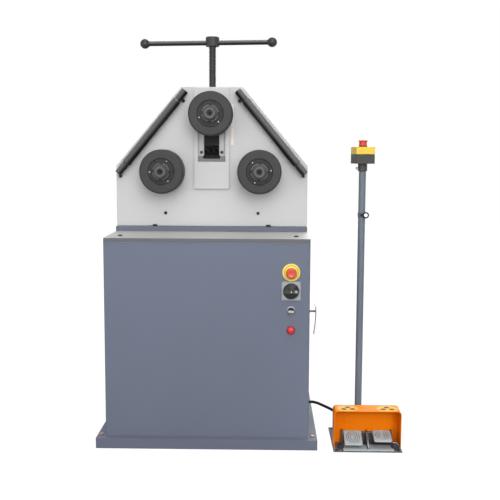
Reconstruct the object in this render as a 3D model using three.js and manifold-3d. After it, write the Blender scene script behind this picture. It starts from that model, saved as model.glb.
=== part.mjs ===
// A ring roller: a floor cabinet with a three-roll bending head, and a pedal stand with a stop box.
// Millimetres, +X to the right, +Y to the back, +Z up. The origin is on the floor, under the middle
// of the plinth. Two low rolls are driven through gears, and the top roll is screwed down by hand.
import * as THREE from "three";
import Module from "manifold-3d";
import { mergeVertices } from "three/addons/utils/BufferGeometryUtils.js";

const wasm = await Module();
wasm.setup();

// Clearances and overruns
const seatGap = 0.3; // between pieces that rest on each other
const runGap = 0.3; // around a piece that turns or slides
const overrun = 5; // how far a cut runs past the wall that it opens
const weld = 1; // how deep two joined shapes of one piece reach into each other

// Plinth
const cabinetDepth = 560;
const plinthHeight = 35;
const plinthMargin = 30; // how far the plinth stands out all round
const plinthSheet = 8;
const plinthRim = 80; // width of the plinth's top flange
const anchorHoleRadius = 7;
const anchorSideInset = 15;
const anchorEndInset = 40;

// Cabinet and table
const tableHeight = 720;
const tableThickness = 12;
const cabinetSheet = 3;
const cabinetCornerRadius = 5;
const cabinetFlange = 25; // inward flange along the top and the bottom edge
const ventCount = 6;
const ventLength = 140;
const ventHeight = 8;
const ventPitch = 22;
const ventLift = 115; // lowest slot above the plinth

// Service door in the right-hand wall, hung on its rear edge
const doorFrontInset = 80; // door's front edge behind the cabinet's front
const doorWidth = 180;
const doorLift = 105; // above the plinth
const doorDrop = 80; // door's top edge below the table's top
const doorGap = 2;
const doorLip = 16; // depth of the folded edge behind the door
const doorLipSheet = 2;
const hingeRadius = 5;
const hingePinRadius = 2.5;
const hingeLeafThickness = 2;
const hingeLeafReach = 15;
const knuckleCount = 7;
const knuckleGap = 1;

// Lever of the door's lock
const leverInset = 30; // behind the door's front edge
const leverDrop = 183; // below the door's top edge
const leverHubRadius = 7;
const leverStandOff = 27.5;
const leverBladeThickness = 5;
const leverBladeWidth = 17;
const leverUp = 23; // blade above the hub's axis
const leverDown = 83; // blade below the hub's axis
const leverTipCurl = 5; // how far the tips bend back to the wall
const leverShaftRadius = 5;
const leverInside = 18; // how far the shaft reaches in behind the door's outer face
const camWidth = 14;
const camReach = 24;
const camThickness = 4;

// Head of the machine
const headFlangeToe = 28; // how far the base flange stands out before the face
const headFlangeThickness = 20;
const headBackMargin = 17; // the head's back lies this far inside the cabinet's
const headDepth = 260;
const headSideMargin = 96; // from the rim of a low roll to the head's side
const headShoulderRise = 234; // over the table
const headTopRise = 525; // over the table
const headTopHalfWidth = 110;
const facePlateThickness = 20;
const headWall = 10;
const headTopPlate = 25;
const rearCoverThickness = 3;
const rearCoverInset = 5;
const motorOpeningMargin = 14; // free space round the motor where it passes down
const motorOpeningCorner = 14;

// Slide, its window and its guides
const slotHalfWidth = 31;
const slotFootRoom = 33; // slot below the slide's lowest place
const slotDrop = 30; // below the head's top
const guidePlateHalfWidth = 64;
const guidePlateFoot = 23; // plate below the slot
const guidePlateDrop = 4; // below the head's top
const guidePlateThickness = 11;
const windowHalfWidth = 49.5;
const windowLift = 76; // above the slot's low end
const windowDrop = 39; // below the head's top
const windowLipHeight = 9;
const windowLipThickness = 4;
const gibInnerX = 27.7;
const gibWidth = 17;
const gibLift = 20; // above the window's low edge
const gibDrop = 4; // below the window's high edge
const gibThickness = 6;
const slideHeight = 167;
const slideDrop = 45; // below the head's top
const slideFlangeHalfWidth = 44;
const slideReach = 81; // behind the head's face
const slideTravel = 100;

// Screw that moves the slide, with its nut and its T-handle
const screwSetback = 49; // behind the head's face
const screwRadius = 12.5;
const screwNeckRadius = 9;
const screwNeckLength = 24;
const screwTopSunk = 6; // below the hub's top
const nutRadius = 22;
const nutFlangeRadius = 28;
const nutFlangeThickness = 11;
const hubRadius = 25;
const hubRise = 148; // above the head's top
const hubHeight = 35;
const hubChamfer = 2;
const crossbarLift = 14; // above the hub's underside
const crossbarRadius = 9;
const crossbarSpan = 472.6; // between the centres of its two balls
const crossbarOffset = -17; // it is pushed through to the left
const crossbarTurn = -7; // degrees about the screw, the right end is nearer
const ballRadius = 18;

// Rolls, alike on all three shafts
const rollRadius = 79;
const rollStandOff = 15; // before the head's face
const rollThickness = 76;
const rollRingCount = 3;
const rollEdge = 3;
const rollGrooveDepth = 2; // shallow grooves show where the roll's rings meet
const rollGrooveWidth = 3;
const rollRecessRadius = 47;
const rollRecessDepth = 4;
const shaftRadius = 20;
const shaftNose = 36; // before the rolls' front
const shaftCentreHoleRadius = 10.5;
const shaftCentreHoleDepth = 7;
const shaftChamfer = 2;
const shaftCollarRadius = 28;
const shaftCollarLength = 6.4;
const nutRingRadius = 30;
const nutRingThickness = 15;
const nutBossRadius = 24;
const nutBossThickness = 11;
const lowerRollRise = 221; // over the table
const upperRollLift = 113.5; // above the slide's low end
const upperShaftCover = 18; // the slide reaches this far behind its shaft

// Bearings and drive behind the face plate
const bearingRadius = 31;
const bearingFlangeRadius = 42;
const bearingFlangeThickness = 8;
const bearingLength = 50;
const gearModule = 7;
const gearTeeth = 28;
const pinionTeeth = 22;
const gearBacklash = 0.5;
const gearSetback = 103; // behind the head's face
const gearThickness = 24;
const gearHubRadius = 32;
const gearHubExtra = 5; // the hub stands out this far on each side
const pinionExtra = 2; // the pinion's teeth reach this far past the gears on each side
const pinionShaftRadius = 17.5;
const bearingPlateGap = 3; // behind the gears' hubs
const bearingPlateThickness = 12;
const bearingPlateDown = 61; // below the low shafts
const bearingPlateUp = 119; // above the low shafts
const shaftTail = 8; // the low shafts end this far behind the bearing plate
const gearboxSize = 150;
const gearboxDepth = 80;
const gearboxCorner = 30;
const gearboxShaftReach = 62;
const gearboxCoverRadius = 55;
const gearboxCoverThickness = 6;
const motorX = 63;
const motorSetback = 188; // behind the head's face
const motorFlangeRadius = 62;
const motorFlangeThickness = 12;
const motorRadius = 58;
const motorDrop = 110; // below the table's top
const fanCoverRadius = 61;
const fanCoverHeight = 46;
const finCount = 8;
const finDepth = 4;
const finWidth = 8;
const finMargin = 8; // plain band above and below the fins
const terminalBoxWidth = 60;
const terminalBoxHeight = 70;
const terminalBoxDepth = 30;
const terminalBoxLift = 20; // above the motor's low end
const terminalBoxFoot = 8; // how far the box reaches into the motor's body

// Support bars along the two slopes of the face
const barInset = 21; // bar axis inside the slope's edge
const barStandOff = 23; // before the head's face
const barOverShoulder = 10; // the bar starts this far below the shoulder
const barLength = 387;
const barEndLength = 46;
const barEndRadius = 12.5;
const barSleeveRadius = 14.5;
const barRodRadius = 8;
const barFootWidth = 18;
const barFootLength = 30;
const barSleeveGap = 0.5;

// Scale on the face, to the right of the guide plate
const scaleGap = 6; // beside the guide plate
const scaleWidth = 16;
const scaleLift = 3; // above the slide's low end
const scaleHeight = 148;
const scaleThickness = 1.5;

// Controls on the cabinet's front
const controlsInset = 64; // from the cabinet's right-hand side
const stopDrop = 111; // these four below the table's top
const switchDrop = 174;
const selectorDrop = 241;
const lampDrop = 309;
const controlBarrelRadius = 11; // barrel through the sheet
const contactBlock = 40; // side of the square contact block behind the sheet
const contactBlockDepth = 45;
const contactBlockStandOff = 10;
const legendRadius = 30;
const legendThickness = 2;
const stopCollarRadius = 14;
const stopCollarLength = 8;
const stopButtonRadius = 18.5;
const stopButtonHeight = 11;
const stopButtonTravel = 5;
const stopStemRadius = 5;
const stopStemLength = 14;
const stopButtonEdge = 3; // step of its rounded edge
const switchPlateSize = 64;
const switchPlateThickness = 4;
const switchPlateCorner = 5;
const switchShaftRadius = 5;
const switchShaftLength = 14;
const switchBlock = 48;
const switchBlockDepth = 62;
const switchKnobRadius = 27;
const switchKnobThickness = 9;
const switchGripWidth = 15;
const switchGripLength = 52;
const switchGripCorner = 7;
const switchGripHeight = 13;
const bezelRadius = 14.5;
const bezelThickness = 6;
const bezelBore = 10.6;
const bezelFloor = 2; // thickness behind its recess
const selectorStemLength = 12;
const selectorGripWidth = 6;
const selectorGripHeight = 10;
const selectorGripLength = 18.6;
const lensRadius = 14.5;
const lensRim = 5;
const lensBulge = 8;
const lensDomeShares = [[0.5, 0.86], [0.86, 0.5]]; // of the lens's radius and bulge

// Cable from the cabinet to the pedal unit. Its points are chosen by hand.
const cableRadius = 5.2;
const cableSides = 8;
const cableSteps = 12;
const cableRoute = [
  [364.3, -30, 88],
  [378, -30, 87.8],
  [391, -31.5, 85.5],
  [404, -36, 81.8],
  [416, -44, 78.6],
  [428, -55, 76.2],
  [439, -69, 74.6],
  [448, -85, 73.8],
  [456, -102, 73.6],
  [463, -120, 74],
  [469, -139, 75.2],
  [474, -158, 76.8],
  [477.5, -175, 78.4],
  [479.5, -190, 79.6],
  [480, -201, 80],
  [480, -211.7, 80],
];
const glandRadius = 11;
const glandLength = 14;
const glandNutLength = 4.7;
const glandChamfer = 1;
const glandMouthRadius = 7.2;
const glandTailRadius = 7;
const glandTailLength = 12;

// Pedal stand
const standAside = 201; // from the cabinet's side to the middle of the stand's floor plate
const standPlateWidth = 234;
const standPlateFrontY = -324;
const standPlateBackY = -67;
const standPlateThickness = 3;
const hoodWidth = 229;
const hoodFrontY = -302;
const hoodBackY = -226;
const hoodTopZ = 133;
const hoodSheet = 2.5;
const hoodCorner = 13;
const frameAside = 3; // the divider between the pedals, right of the floor plate's middle
const frameWidth = 176;
const frameFrontY = -316;
const frameFloor = 3;
const frameEar = 6; // thickness of the cheeks that hold the pedal pin
const frameEarFrontY = -254;
const dividerThickness = 3;
const dividerLowHeight = 8; // divider above the frame's floor, at its front end
const pedalPinY = -238;
const pedalPinZ = 42;
const pedalPinRadius = 4;
const pedalPinEarTop = 9; // ear above the pin's axis
const pedalWidth = 62;
const pedalSpread = 50; // from the divider to the middle of a pedal
const pedalLength = 74;
const pedalThickness = 5;
const pedalCorner = 4;
const pedalTopOverPin = 8;
const pedalKnuckleRadius = 7;
const leftPedalTilt = 27; // degrees, front edge down
const rightPedalTilt = 20;
const pedalRibCount = 2;
const pedalRibWidth = 2.4;
const pedalRibHeight = 1.4;

// Pole of the stand and the stop box on top
const poleAside = 14; // left of the floor plate's middle
const poleY = -115;
const poleRadius = 11.4;
const poleWall = 2;
const poleFootRadius = 26;
const poleFootThickness = 5;
const poleTopZ = 962;
const clipZ = 793;
const clipHeight = 18;
const clipBand = 2.4;
const clipEyeRadius = 11;
const clipEyeThickness = 6;
const clipScrewRadius = 6.5;
const clipEyeX = 12.5; // eye's centre beside the pole's axis
const boxTurn = 12; // degrees about the pole
const boxSide = 68;
const boxCorner = 5;
const boxBaseLowZ = 973;
const boxBaseHeight = 30;
const boxCoverHeight = 25;
const boxSocketRadius = 14;
const boxSocketLowZ = 946;
const boxSocketChamfer = 3;
const boxWall = 2.5;
const boxButtonRadius = 13.7;
const boxButtonRimRadius = 17;
const boxButtonHeight = 24;
const boxButtonRim = 3.5;
const boxButtonTravel = 4;
const boxStemRadius = 6;
const boxStemLength = 12;

// Widths worked out from the sizes above: the gears set the low rolls apart, the rolls give the
// head its width, and the cabinet is as wide as the head
const lowerRollX = (gearModule * (gearTeeth + pinionTeeth)) / 2;
const headHalfWidth = lowerRollX + rollRadius + headSideMargin;
const halfCabinetWidth = headHalfWidth;
const cabinetWidth = 2 * halfCabinetWidth;
const controlsX = halfCabinetWidth - controlsInset;
const scaleX = guidePlateHalfWidth + scaleGap;
const standPlateX = halfCabinetWidth + standAside;
const frameX = standPlateX + frameAside;
const poleX = standPlateX - poleAside;

// Depths
const halfCabinetDepth = cabinetDepth / 2;
const cabinetFrontY = -halfCabinetDepth;
const doorFrontY = cabinetFrontY + doorFrontInset;
const doorBackY = doorFrontY + doorWidth;
const leverY = doorFrontY + leverInset;
const headBackY = halfCabinetDepth - headBackMargin;
const headFaceY = headBackY - headDepth;
const headFrontY = headFaceY - headFlangeToe;
const facePlateBackY = headFaceY + facePlateThickness;
const slideBackY = headFaceY + slideReach;
const screwY = headFaceY + screwSetback;
const barAxisY = headFaceY - barStandOff;
const rollBackY = headFaceY - rollStandOff;
const rollFrontY = rollBackY - rollThickness;
const shaftFrontY = rollFrontY - shaftNose;
const upperShaftEndY = slideBackY - upperShaftCover;
const gearFrontY = headFaceY + gearSetback;
const gearBackY = gearFrontY + gearThickness;
const bearingPlateFrontY = gearBackY + gearHubExtra + bearingPlateGap;
const bearingPlateBackY = bearingPlateFrontY + bearingPlateThickness;
const motorY = headFaceY + motorSetback;

// Heights
const cabinetTopZ = tableHeight - tableThickness;
const doorLowZ = plinthHeight + doorLift;
const doorHighZ = tableHeight - doorDrop;
const leverZ = doorHighZ - leverDrop;
const ventLowZ = plinthHeight + ventLift;
const stopZ = tableHeight - stopDrop;
const switchZ = tableHeight - switchDrop;
const selectorZ = tableHeight - selectorDrop;
const lampZ = tableHeight - lampDrop;
const headLowZ = tableHeight + headFlangeThickness;
const headShoulderZ = tableHeight + headShoulderRise;
const headTopZ = tableHeight + headTopRise;
const slideHighZ = headTopZ - slideDrop;
const slideLowZ = slideHighZ - slideHeight;
const slotLowZ = slideLowZ - slideTravel - slotFootRoom;
const slotHighZ = headTopZ - slotDrop;
const guidePlateLowZ = slotLowZ - guidePlateFoot;
const guidePlateHighZ = headTopZ - guidePlateDrop;
const windowLowZ = slotLowZ + windowLift;
const windowHighZ = headTopZ - windowDrop;
const gibLowZ = windowLowZ + gibLift;
const gibHighZ = windowHighZ - gibDrop;
const scaleLowZ = slideLowZ + scaleLift;
const scaleHighZ = scaleLowZ + scaleHeight;
const hubLowZ = headTopZ + hubRise;
const hubHighZ = hubLowZ + hubHeight;
const screwTopZ = hubHighZ - screwTopSunk;
const crossbarZ = hubLowZ + crossbarLift;
const upperRollZ = slideLowZ + upperRollLift;
const lowerRollZ = tableHeight + lowerRollRise;
const bearingPlateLowZ = lowerRollZ - bearingPlateDown;
const bearingPlateHighZ = lowerRollZ + bearingPlateUp;
const motorLowZ = tableHeight - motorDrop;
const terminalBoxLowZ = motorLowZ + terminalBoxLift;
const gearboxFrontY = bearingPlateBackY + seatGap;
const gearboxLowZ = lowerRollZ - gearboxSize / 2;
const motorTopZ = gearboxLowZ - seatGap;
const standTopZ = standPlateThickness;
const boxCoverLowZ = boxBaseLowZ + boxBaseHeight + seatGap;
const boxCoverTopZ = boxCoverLowZ + boxCoverHeight;

// Fineness of round shapes
const fineSides = 24;
const roundSides = 16;
const smallSides = 8;
const cornerSteps = 2;
const bendSteps = 5;

// A geometry made into one closed solid with its faces pointing outwards
function solid(geometry) {
  const bare = geometry.clone();
  bare.deleteAttribute("normal");
  bare.deleteAttribute("uv");
  const merged = mergeVertices(bare);
  const triangles = [];
  let volume = 0;
  const [a, b, c] = [new THREE.Vector3(), new THREE.Vector3(), new THREE.Vector3()];
  for (let i = 0; i < merged.index.count; i += 3) {
    const [p, q, r] = [0, 1, 2].map((k) => merged.index.getX(i + k));
    if (p === q || q === r || r === p) continue;
    triangles.push([p, q, r]);
    [a, b, c].forEach((corner, k) => corner.fromBufferAttribute(merged.attributes.position, [p, q, r][k]));
    volume += a.dot(b.cross(c));
  }
  const facing = volume < 0 ? triangles.map(([p, q, r]) => [p, r, q]) : triangles;
  const vertProperties = new Float32Array(merged.attributes.position.array);
  const triVerts = new Uint32Array(facing.flat());
  return new wasm.Manifold(new wasm.Mesh({ numProp: 3, vertProperties, triVerts }));
}

// The surface of a solid as a three.js geometry
function surface(body) {
  const mesh = body.getMesh();
  const geometry = new THREE.BufferGeometry();
  geometry.setAttribute("position", new THREE.BufferAttribute(new Float32Array(mesh.vertProperties), 3));
  geometry.setIndex(new THREE.BufferAttribute(new Uint32Array(mesh.triVerts), 1));
  const faceted = geometry.toNonIndexed();
  faceted.computeVertexNormals();
  return faceted;
}

function join(first, ...others) {
  return others.reduce((whole, piece) => whole.add(piece), first);
}

function cut(body, ...tools) {
  return tools.reduce((rest, tool) => rest.subtract(tool), body);
}

// Radius of a faceted bore that clears a round piece all round by the gap
function boreRadius(radius, gap = runGap, sides = roundSides) {
  return (radius + gap) / Math.cos(Math.PI / sides);
}

function material(color, roughness, metalness) {
  return new THREE.MeshStandardMaterial({ color, roughness, metalness });
}

const bluePaint = material(0x747b8a, 0.5, 0.1);
const plinthPaint = material(0x5a5f6d, 0.5, 0.1);
const headPaint = material(0xc9cacc, 0.5, 0.1);
const groundSteel = material(0xb8b8b8, 0.35, 0.9);
const darkSteel = material(0x606163, 0.45, 0.8);
const blackSteel = material(0x46464a, 0.5, 0.6);
const chromePlate = material(0xdadada, 0.15, 1);
const bronze = material(0xa9824a, 0.4, 0.9);
const castIron = material(0x66696c, 0.7, 0.5);
const castAluminium = material(0x9a9998, 0.55, 0.7);
const blackPlastic = material(0x2b2b2c, 0.5, 0);
const greyPlastic = material(0x9b9da3, 0.5, 0);
const yellowPlastic = material(0xf2cc4e, 0.45, 0);
const redPlastic = material(0xd23a2e, 0.35, 0);
const orangePaint = material(0xe2731f, 0.4, 0.1);
const creamStrip = material(0xe6dfd0, 0.6, 0);
const blackRubber = material(0x1d1d1e, 0.7, 0);

function part(name, body, look) {
  const mesh = new THREE.Mesh(surface(body), look);
  mesh.name = name;
  return mesh;
}

function box(x0, x1, y0, y1, z0, z1) {
  const geometry = new THREE.BoxGeometry(x1 - x0, y1 - y0, z1 - z0);
  return solid(geometry.translate((x0 + x1) / 2, (y0 + y1) / 2, (z0 + z1) / 2));
}

function outline(points) {
  return new THREE.Shape(points.map(([u, v]) => new THREE.Vector2(u, v)));
}

// A rectangle with round corners about the middle (u, v)
function roundedRectangle(u, v, width, height, radius) {
  const shape = new THREE.Shape();
  const [left, right, low, high] = [u - width / 2, u + width / 2, v - height / 2, v + height / 2];
  shape.absarc(right - radius, low + radius, radius, -Math.PI / 2, 0);
  shape.absarc(right - radius, high - radius, radius, 0, Math.PI / 2);
  shape.absarc(left + radius, high - radius, radius, Math.PI / 2, Math.PI);
  shape.absarc(left + radius, low + radius, radius, Math.PI, 1.5 * Math.PI);
  shape.closePath();
  return shape;
}

function extruded(shape, depth, curveSegments = cornerSteps) {
  return new THREE.ExtrudeGeometry(shape, { depth, bevelEnabled: false, curveSegments });
}

// An outline in X and Y, raised from z0 to z1
function raised(shape, z0, z1, segments) {
  return solid(extruded(shape, z1 - z0, segments).translate(0, 0, z0));
}

// An outline in X and Z, run back from y0 to y1
function runBack(shape, y0, y1, segments) {
  return solid(extruded(shape, y1 - y0, segments).rotateX(Math.PI / 2).translate(0, y1, 0));
}

// An outline in Y and Z, run to the right from x0 to x1
function runRight(shape, x0, x1, segments) {
  const turn = new THREE.Matrix4().makeBasis(
    new THREE.Vector3(0, 1, 0),
    new THREE.Vector3(0, 0, 1),
    new THREE.Vector3(1, 0, 0),
  );
  return solid(extruded(shape, x1 - x0, segments).applyMatrix4(turn).translate(x0, 0, 0));
}

function latheOf(profile, sides) {
  return new THREE.LatheGeometry(profile.map(([radius, height]) => new THREE.Vector2(radius, height)), sides);
}

// Turned shapes: each profile is a list of radius and place along the axis
function turnedY(profile, x, z, sides = roundSides) {
  return solid(latheOf(profile, sides).translate(x, 0, z));
}

function turnedZ(profile, x, y, sides = roundSides) {
  return solid(latheOf(profile, sides).rotateX(Math.PI / 2).translate(x, y, 0));
}

function turnedX(profile, y, z, sides = roundSides) {
  return solid(latheOf(profile, sides).rotateZ(-Math.PI / 2).translate(0, y, z));
}

function rodX(radius, x0, x1, y, z, sides) {
  return turnedX([[0, x0], [radius, x0], [radius, x1], [0, x1]], y, z, sides);
}

function rodY(radius, y0, y1, x, z, sides) {
  return turnedY([[0, y0], [radius, y0], [radius, y1], [0, y1]], x, z, sides);
}

function rodZ(radius, z0, z1, x, y, sides) {
  return turnedZ([[0, z0], [radius, z0], [radius, z1], [0, z1]], x, y, sides);
}

// The plinth is a folded pan: a full floor, four walls and a broad top flange
function plinth() {
  const halfWidth = halfCabinetWidth + plinthMargin;
  const halfDepth = halfCabinetDepth + plinthMargin;
  const outside = raised(
    roundedRectangle(0, 0, 2 * halfWidth, 2 * halfDepth, cabinetCornerRadius), 0, plinthHeight);
  const hollow = box(
    plinthSheet - halfWidth, halfWidth - plinthSheet, plinthSheet - halfDepth, halfDepth - plinthSheet,
    plinthSheet, plinthHeight - plinthSheet);
  const topOpening = box(
    plinthRim - halfWidth, halfWidth - plinthRim, plinthRim - halfDepth, halfDepth - plinthRim,
    plinthHeight - plinthSheet - weld, plinthHeight + overrun);
  const anchorHoles = [-1, 1].flatMap((side) => [-1, 1].map((end) => rodZ(
    anchorHoleRadius, -overrun, plinthHeight + overrun,
    side * (halfWidth - anchorSideInset), end * (halfDepth - anchorEndInset), smallSides)));
  return part("plinth", cut(outside, hollow, topOpening, ...anchorHoles), plinthPaint);
}

// Where the hinge's knuckles of the door and of the cabinet lie, one after the other
function knuckles(ofDoor) {
  const pitch = (doorHighZ - doorLowZ - 2 * doorGap) / knuckleCount;
  const places = [];
  for (let i = ofDoor ? 1 : 0; i < knuckleCount; i += 2) {
    const low = doorLowZ + doorGap + i * pitch;
    places.push([low + knuckleGap / 2, low + pitch - knuckleGap / 2]);
  }
  return places;
}

function hingeAxis() {
  return [halfCabinetWidth + hingeLeafThickness + hingeRadius - weld, doorBackY];
}

// A leaf of the piano hinge: knuckles round the pin, each on a tab on the wall's outer face
function hingeLeaf(ofDoor) {
  const [axisX, axisY] = hingeAxis();
  const [tabFrontY, tabBackY] = ofDoor ? [axisY - hingeLeafReach, axisY] : [axisY, axisY + hingeLeafReach];
  return knuckles(ofDoor).map(([low, high]) => join(
    rodZ(hingeRadius, low, high, axisX, axisY, smallSides),
    box(halfCabinetWidth - weld, halfCabinetWidth + hingeLeafThickness, tabFrontY, tabBackY, low, high)));
}

function hingeBore() {
  const [axisX, axisY] = hingeAxis();
  const radius = boreRadius(hingePinRadius, runGap, smallSides);
  return rodZ(radius, doorLowZ - overrun, doorHighZ + overrun, axisX, axisY, smallSides);
}

// The cabinet is a sheet shell with inward flanges, holes for the controls and a doorway on the right
function cabinetShell() {
  const inner = halfCabinetWidth - cabinetSheet;
  const innerDepth = halfCabinetDepth - cabinetSheet;
  const outside = raised(
    roundedRectangle(0, 0, cabinetWidth, cabinetDepth, cabinetCornerRadius), plinthHeight, cabinetTopZ);
  const hollow = box(-inner, inner, -innerDepth, innerDepth, plinthHeight + cabinetSheet,
    cabinetTopZ - cabinetSheet);
  const throat = box(
    cabinetFlange - inner, inner - cabinetFlange, cabinetFlange - innerDepth, innerDepth - cabinetFlange,
    plinthHeight - overrun, cabinetTopZ + overrun);
  const doorway = box(
    inner - overrun, halfCabinetWidth + overrun, doorFrontY, doorBackY, doorLowZ, doorHighZ);
  const barrelHoles = [stopZ, switchZ, selectorZ, lampZ].map((z) => rodY(
    boreRadius(controlBarrelRadius, seatGap, smallSides), cabinetFrontY - overrun,
    cabinetFrontY + cabinetSheet + overrun, controlsX, z, smallSides));
  const [glandX, glandY, glandZ] = cableRoute[0];
  const glandHole = rodX(
    boreRadius(glandTailRadius, seatGap, smallSides), inner - overrun, glandX, glandY, glandZ, smallSides);
  const vents = Array.from({ length: ventCount }, (_, i) => {
    const lowZ = ventLowZ + i * ventPitch;
    return box(-ventLength / 2, ventLength / 2, innerDepth - overrun, halfCabinetDepth + overrun,
      lowZ, lowZ + ventHeight);
  });
  const shell = cut(outside, hollow, throat, doorway, ...barrelHoles, glandHole, ...vents);
  return part("cabinet_shell", cut(join(shell, ...hingeLeaf(false)), hingeBore()), bluePaint);
}

// The door lies flush in the doorway and has a folded edge all round
function serviceDoor() {
  const [front, back] = [doorFrontY + doorGap, doorBackY - doorGap];
  const [low, high] = [doorLowZ + doorGap, doorHighZ - doorGap];
  const innerX = halfCabinetWidth - doorLip;
  const panel = box(halfCabinetWidth - cabinetSheet, halfCabinetWidth, front, back, low, high);
  const edge = cut(
    box(innerX, halfCabinetWidth - weld, front, back, low, high),
    box(innerX - overrun, halfCabinetWidth, front + doorLipSheet, back - doorLipSheet,
      low + doorLipSheet, high - doorLipSheet));
  const leverHole = rodX(
    boreRadius(leverShaftRadius, runGap, smallSides), innerX, halfCabinetWidth + overrun,
    leverY, leverZ, smallSides);
  const door = cut(join(panel, edge, ...hingeLeaf(true)), leverHole, hingeBore());
  return part("service_door", door, bluePaint);
}

function hingePin() {
  const [axisX, axisY] = hingeAxis();
  return part("door_hinge_pin", rodZ(hingePinRadius, doorLowZ + doorGap, doorHighZ - doorGap,
    axisX, axisY, smallSides), groundSteel);
}

// Lever with a curled blade outside, and a short cam on its shaft behind the door
function doorLever() {
  const wall = halfCabinetWidth;
  const hub = rodX(leverHubRadius, wall + runGap, wall + leverStandOff, leverY, leverZ, smallSides);
  const shaft = rodX(leverShaftRadius, wall - leverInside, wall + weld, leverY, leverZ, smallSides);
  const [bladeX, top, foot] = [wall + leverStandOff, leverZ + leverUp, leverZ - leverDown];
  const blade = new THREE.Shape();
  blade.moveTo(bladeX - leverTipCurl, top);
  blade.quadraticCurveTo(bladeX, leverZ + leverUp / 2, bladeX, leverZ);
  blade.quadraticCurveTo(bladeX, leverZ - leverDown / 2, bladeX - leverTipCurl, foot);
  blade.lineTo(bladeX - leverTipCurl - leverBladeThickness, foot);
  blade.quadraticCurveTo(
    bladeX - leverBladeThickness, leverZ - leverDown / 2, bladeX - leverBladeThickness, leverZ);
  blade.quadraticCurveTo(
    bladeX - leverBladeThickness, leverZ + leverUp / 2, bladeX - leverTipCurl - leverBladeThickness, top);
  blade.closePath();
  const bladeBody = runBack(blade, leverY - leverBladeWidth / 2, leverY + leverBladeWidth / 2);
  const camX = wall - leverInside;
  const cam = box(camX, camX + camThickness, leverY - camReach, leverY + camWidth / 2,
    leverZ - camWidth / 2, leverZ + camWidth / 2);
  return part("door_lever", join(hub, shaft, bladeBody, cam), chromePlate);
}

// The opening that the motor passes through, the same in the table and in the head's flange
function motorOpening(z0, z1) {
  const reach = motorFlangeRadius + motorOpeningMargin / 2;
  return raised(
    roundedRectangle(motorX, motorY, 2 * reach, 2 * reach, motorOpeningCorner),
    z0 - overrun, z1 + overrun);
}

function tablePlate() {
  const plate = raised(
    roundedRectangle(0, 0, cabinetWidth, cabinetDepth, cabinetCornerRadius), cabinetTopZ, tableHeight);
  return part("table_plate", cut(plate, motorOpening(cabinetTopZ, tableHeight)), groundSteel);
}

function headFlange() {
  const plate = box(
    -headHalfWidth, headHalfWidth, headFrontY, halfCabinetDepth, tableHeight, headLowZ);
  return part("head_base_flange", cut(plate, motorOpening(tableHeight, headLowZ)), bluePaint);
}

// The head's outline in X and Z, drawn in by a wall at the sides and slopes and by another at the top
function headOutline(wall, topWall, lowZ) {
  const run = headHalfWidth - headTopHalfWidth;
  const rise = headTopZ - headShoulderZ;
  const slope = Math.hypot(run, rise);
  const sideX = headHalfWidth - wall;
  const topZ = headTopZ - topWall;
  const zAt = (x) => headShoulderZ - (wall * slope) / run + ((headHalfWidth - x) * rise) / run;
  const xAt = (z) => headHalfWidth - (z - zAt(headHalfWidth)) * (run / rise);
  return [
    [-sideX, lowZ], [sideX, lowZ], [sideX, zAt(sideX)], [xAt(topZ), topZ],
    [-xAt(topZ), topZ], [-sideX, zAt(sideX)],
  ];
}

// Welded housing: face plate, side walls, slopes and a thick top plate, open at the back and below
function headHousing() {
  const outside = runBack(outline(headOutline(0, 0, headLowZ)), headFaceY, headBackY);
  const hollow = runBack(
    outline(headOutline(headWall, headTopPlate, headLowZ - overrun)), facePlateBackY, headBackY + overrun);
  const slot = box(
    -slotHalfWidth, slotHalfWidth, headFaceY - overrun, facePlateBackY + overrun, slotLowZ, slotHighZ);
  const bores = [-1, 1].map((side) => rodY(
    boreRadius(bearingRadius, seatGap), headFaceY - overrun, facePlateBackY + overrun,
    side * lowerRollX, lowerRollZ));
  const nutBore = rodZ(
    boreRadius(nutRadius, seatGap), headTopZ - headTopPlate - overrun, headTopZ + overrun, 0, screwY);
  return part("head_housing", cut(outside, hollow, slot, ...bores, nutBore), headPaint);
}

function rearCover() {
  const cover = runBack(
    outline(headOutline(rearCoverInset, rearCoverInset, headLowZ + rearCoverInset)),
    headBackY, headBackY + rearCoverThickness);
  return part("head_rear_cover", cover, headPaint);
}

// The plate round the slide's window, with a thin lip across the window's foot
function guidePlate() {
  const [frontY, backY] = [headFaceY - guidePlateThickness, headFaceY];
  const plate = box(
    -guidePlateHalfWidth, guidePlateHalfWidth, frontY, backY, guidePlateLowZ, guidePlateHighZ);
  const window = box(
    -windowHalfWidth, windowHalfWidth, frontY - overrun, backY + overrun,
    windowLowZ + windowLipHeight, windowHighZ);
  const lipRecess = box(
    -windowHalfWidth, windowHalfWidth, frontY - overrun, backY - windowLipThickness,
    windowLowZ, windowLowZ + windowLipHeight + overrun);
  return part("slide_guide_plate", cut(plate, window, lipRecess), headPaint);
}

function gibStrip(name, side) {
  const inner = side * gibInnerX;
  const outer = side * (gibInnerX + gibWidth);
  const strip = box(
    Math.min(inner, outer), Math.max(inner, outer), headFaceY - gibThickness, headFaceY,
    gibLowZ, gibHighZ);
  return part(name, strip, headPaint);
}

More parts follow.
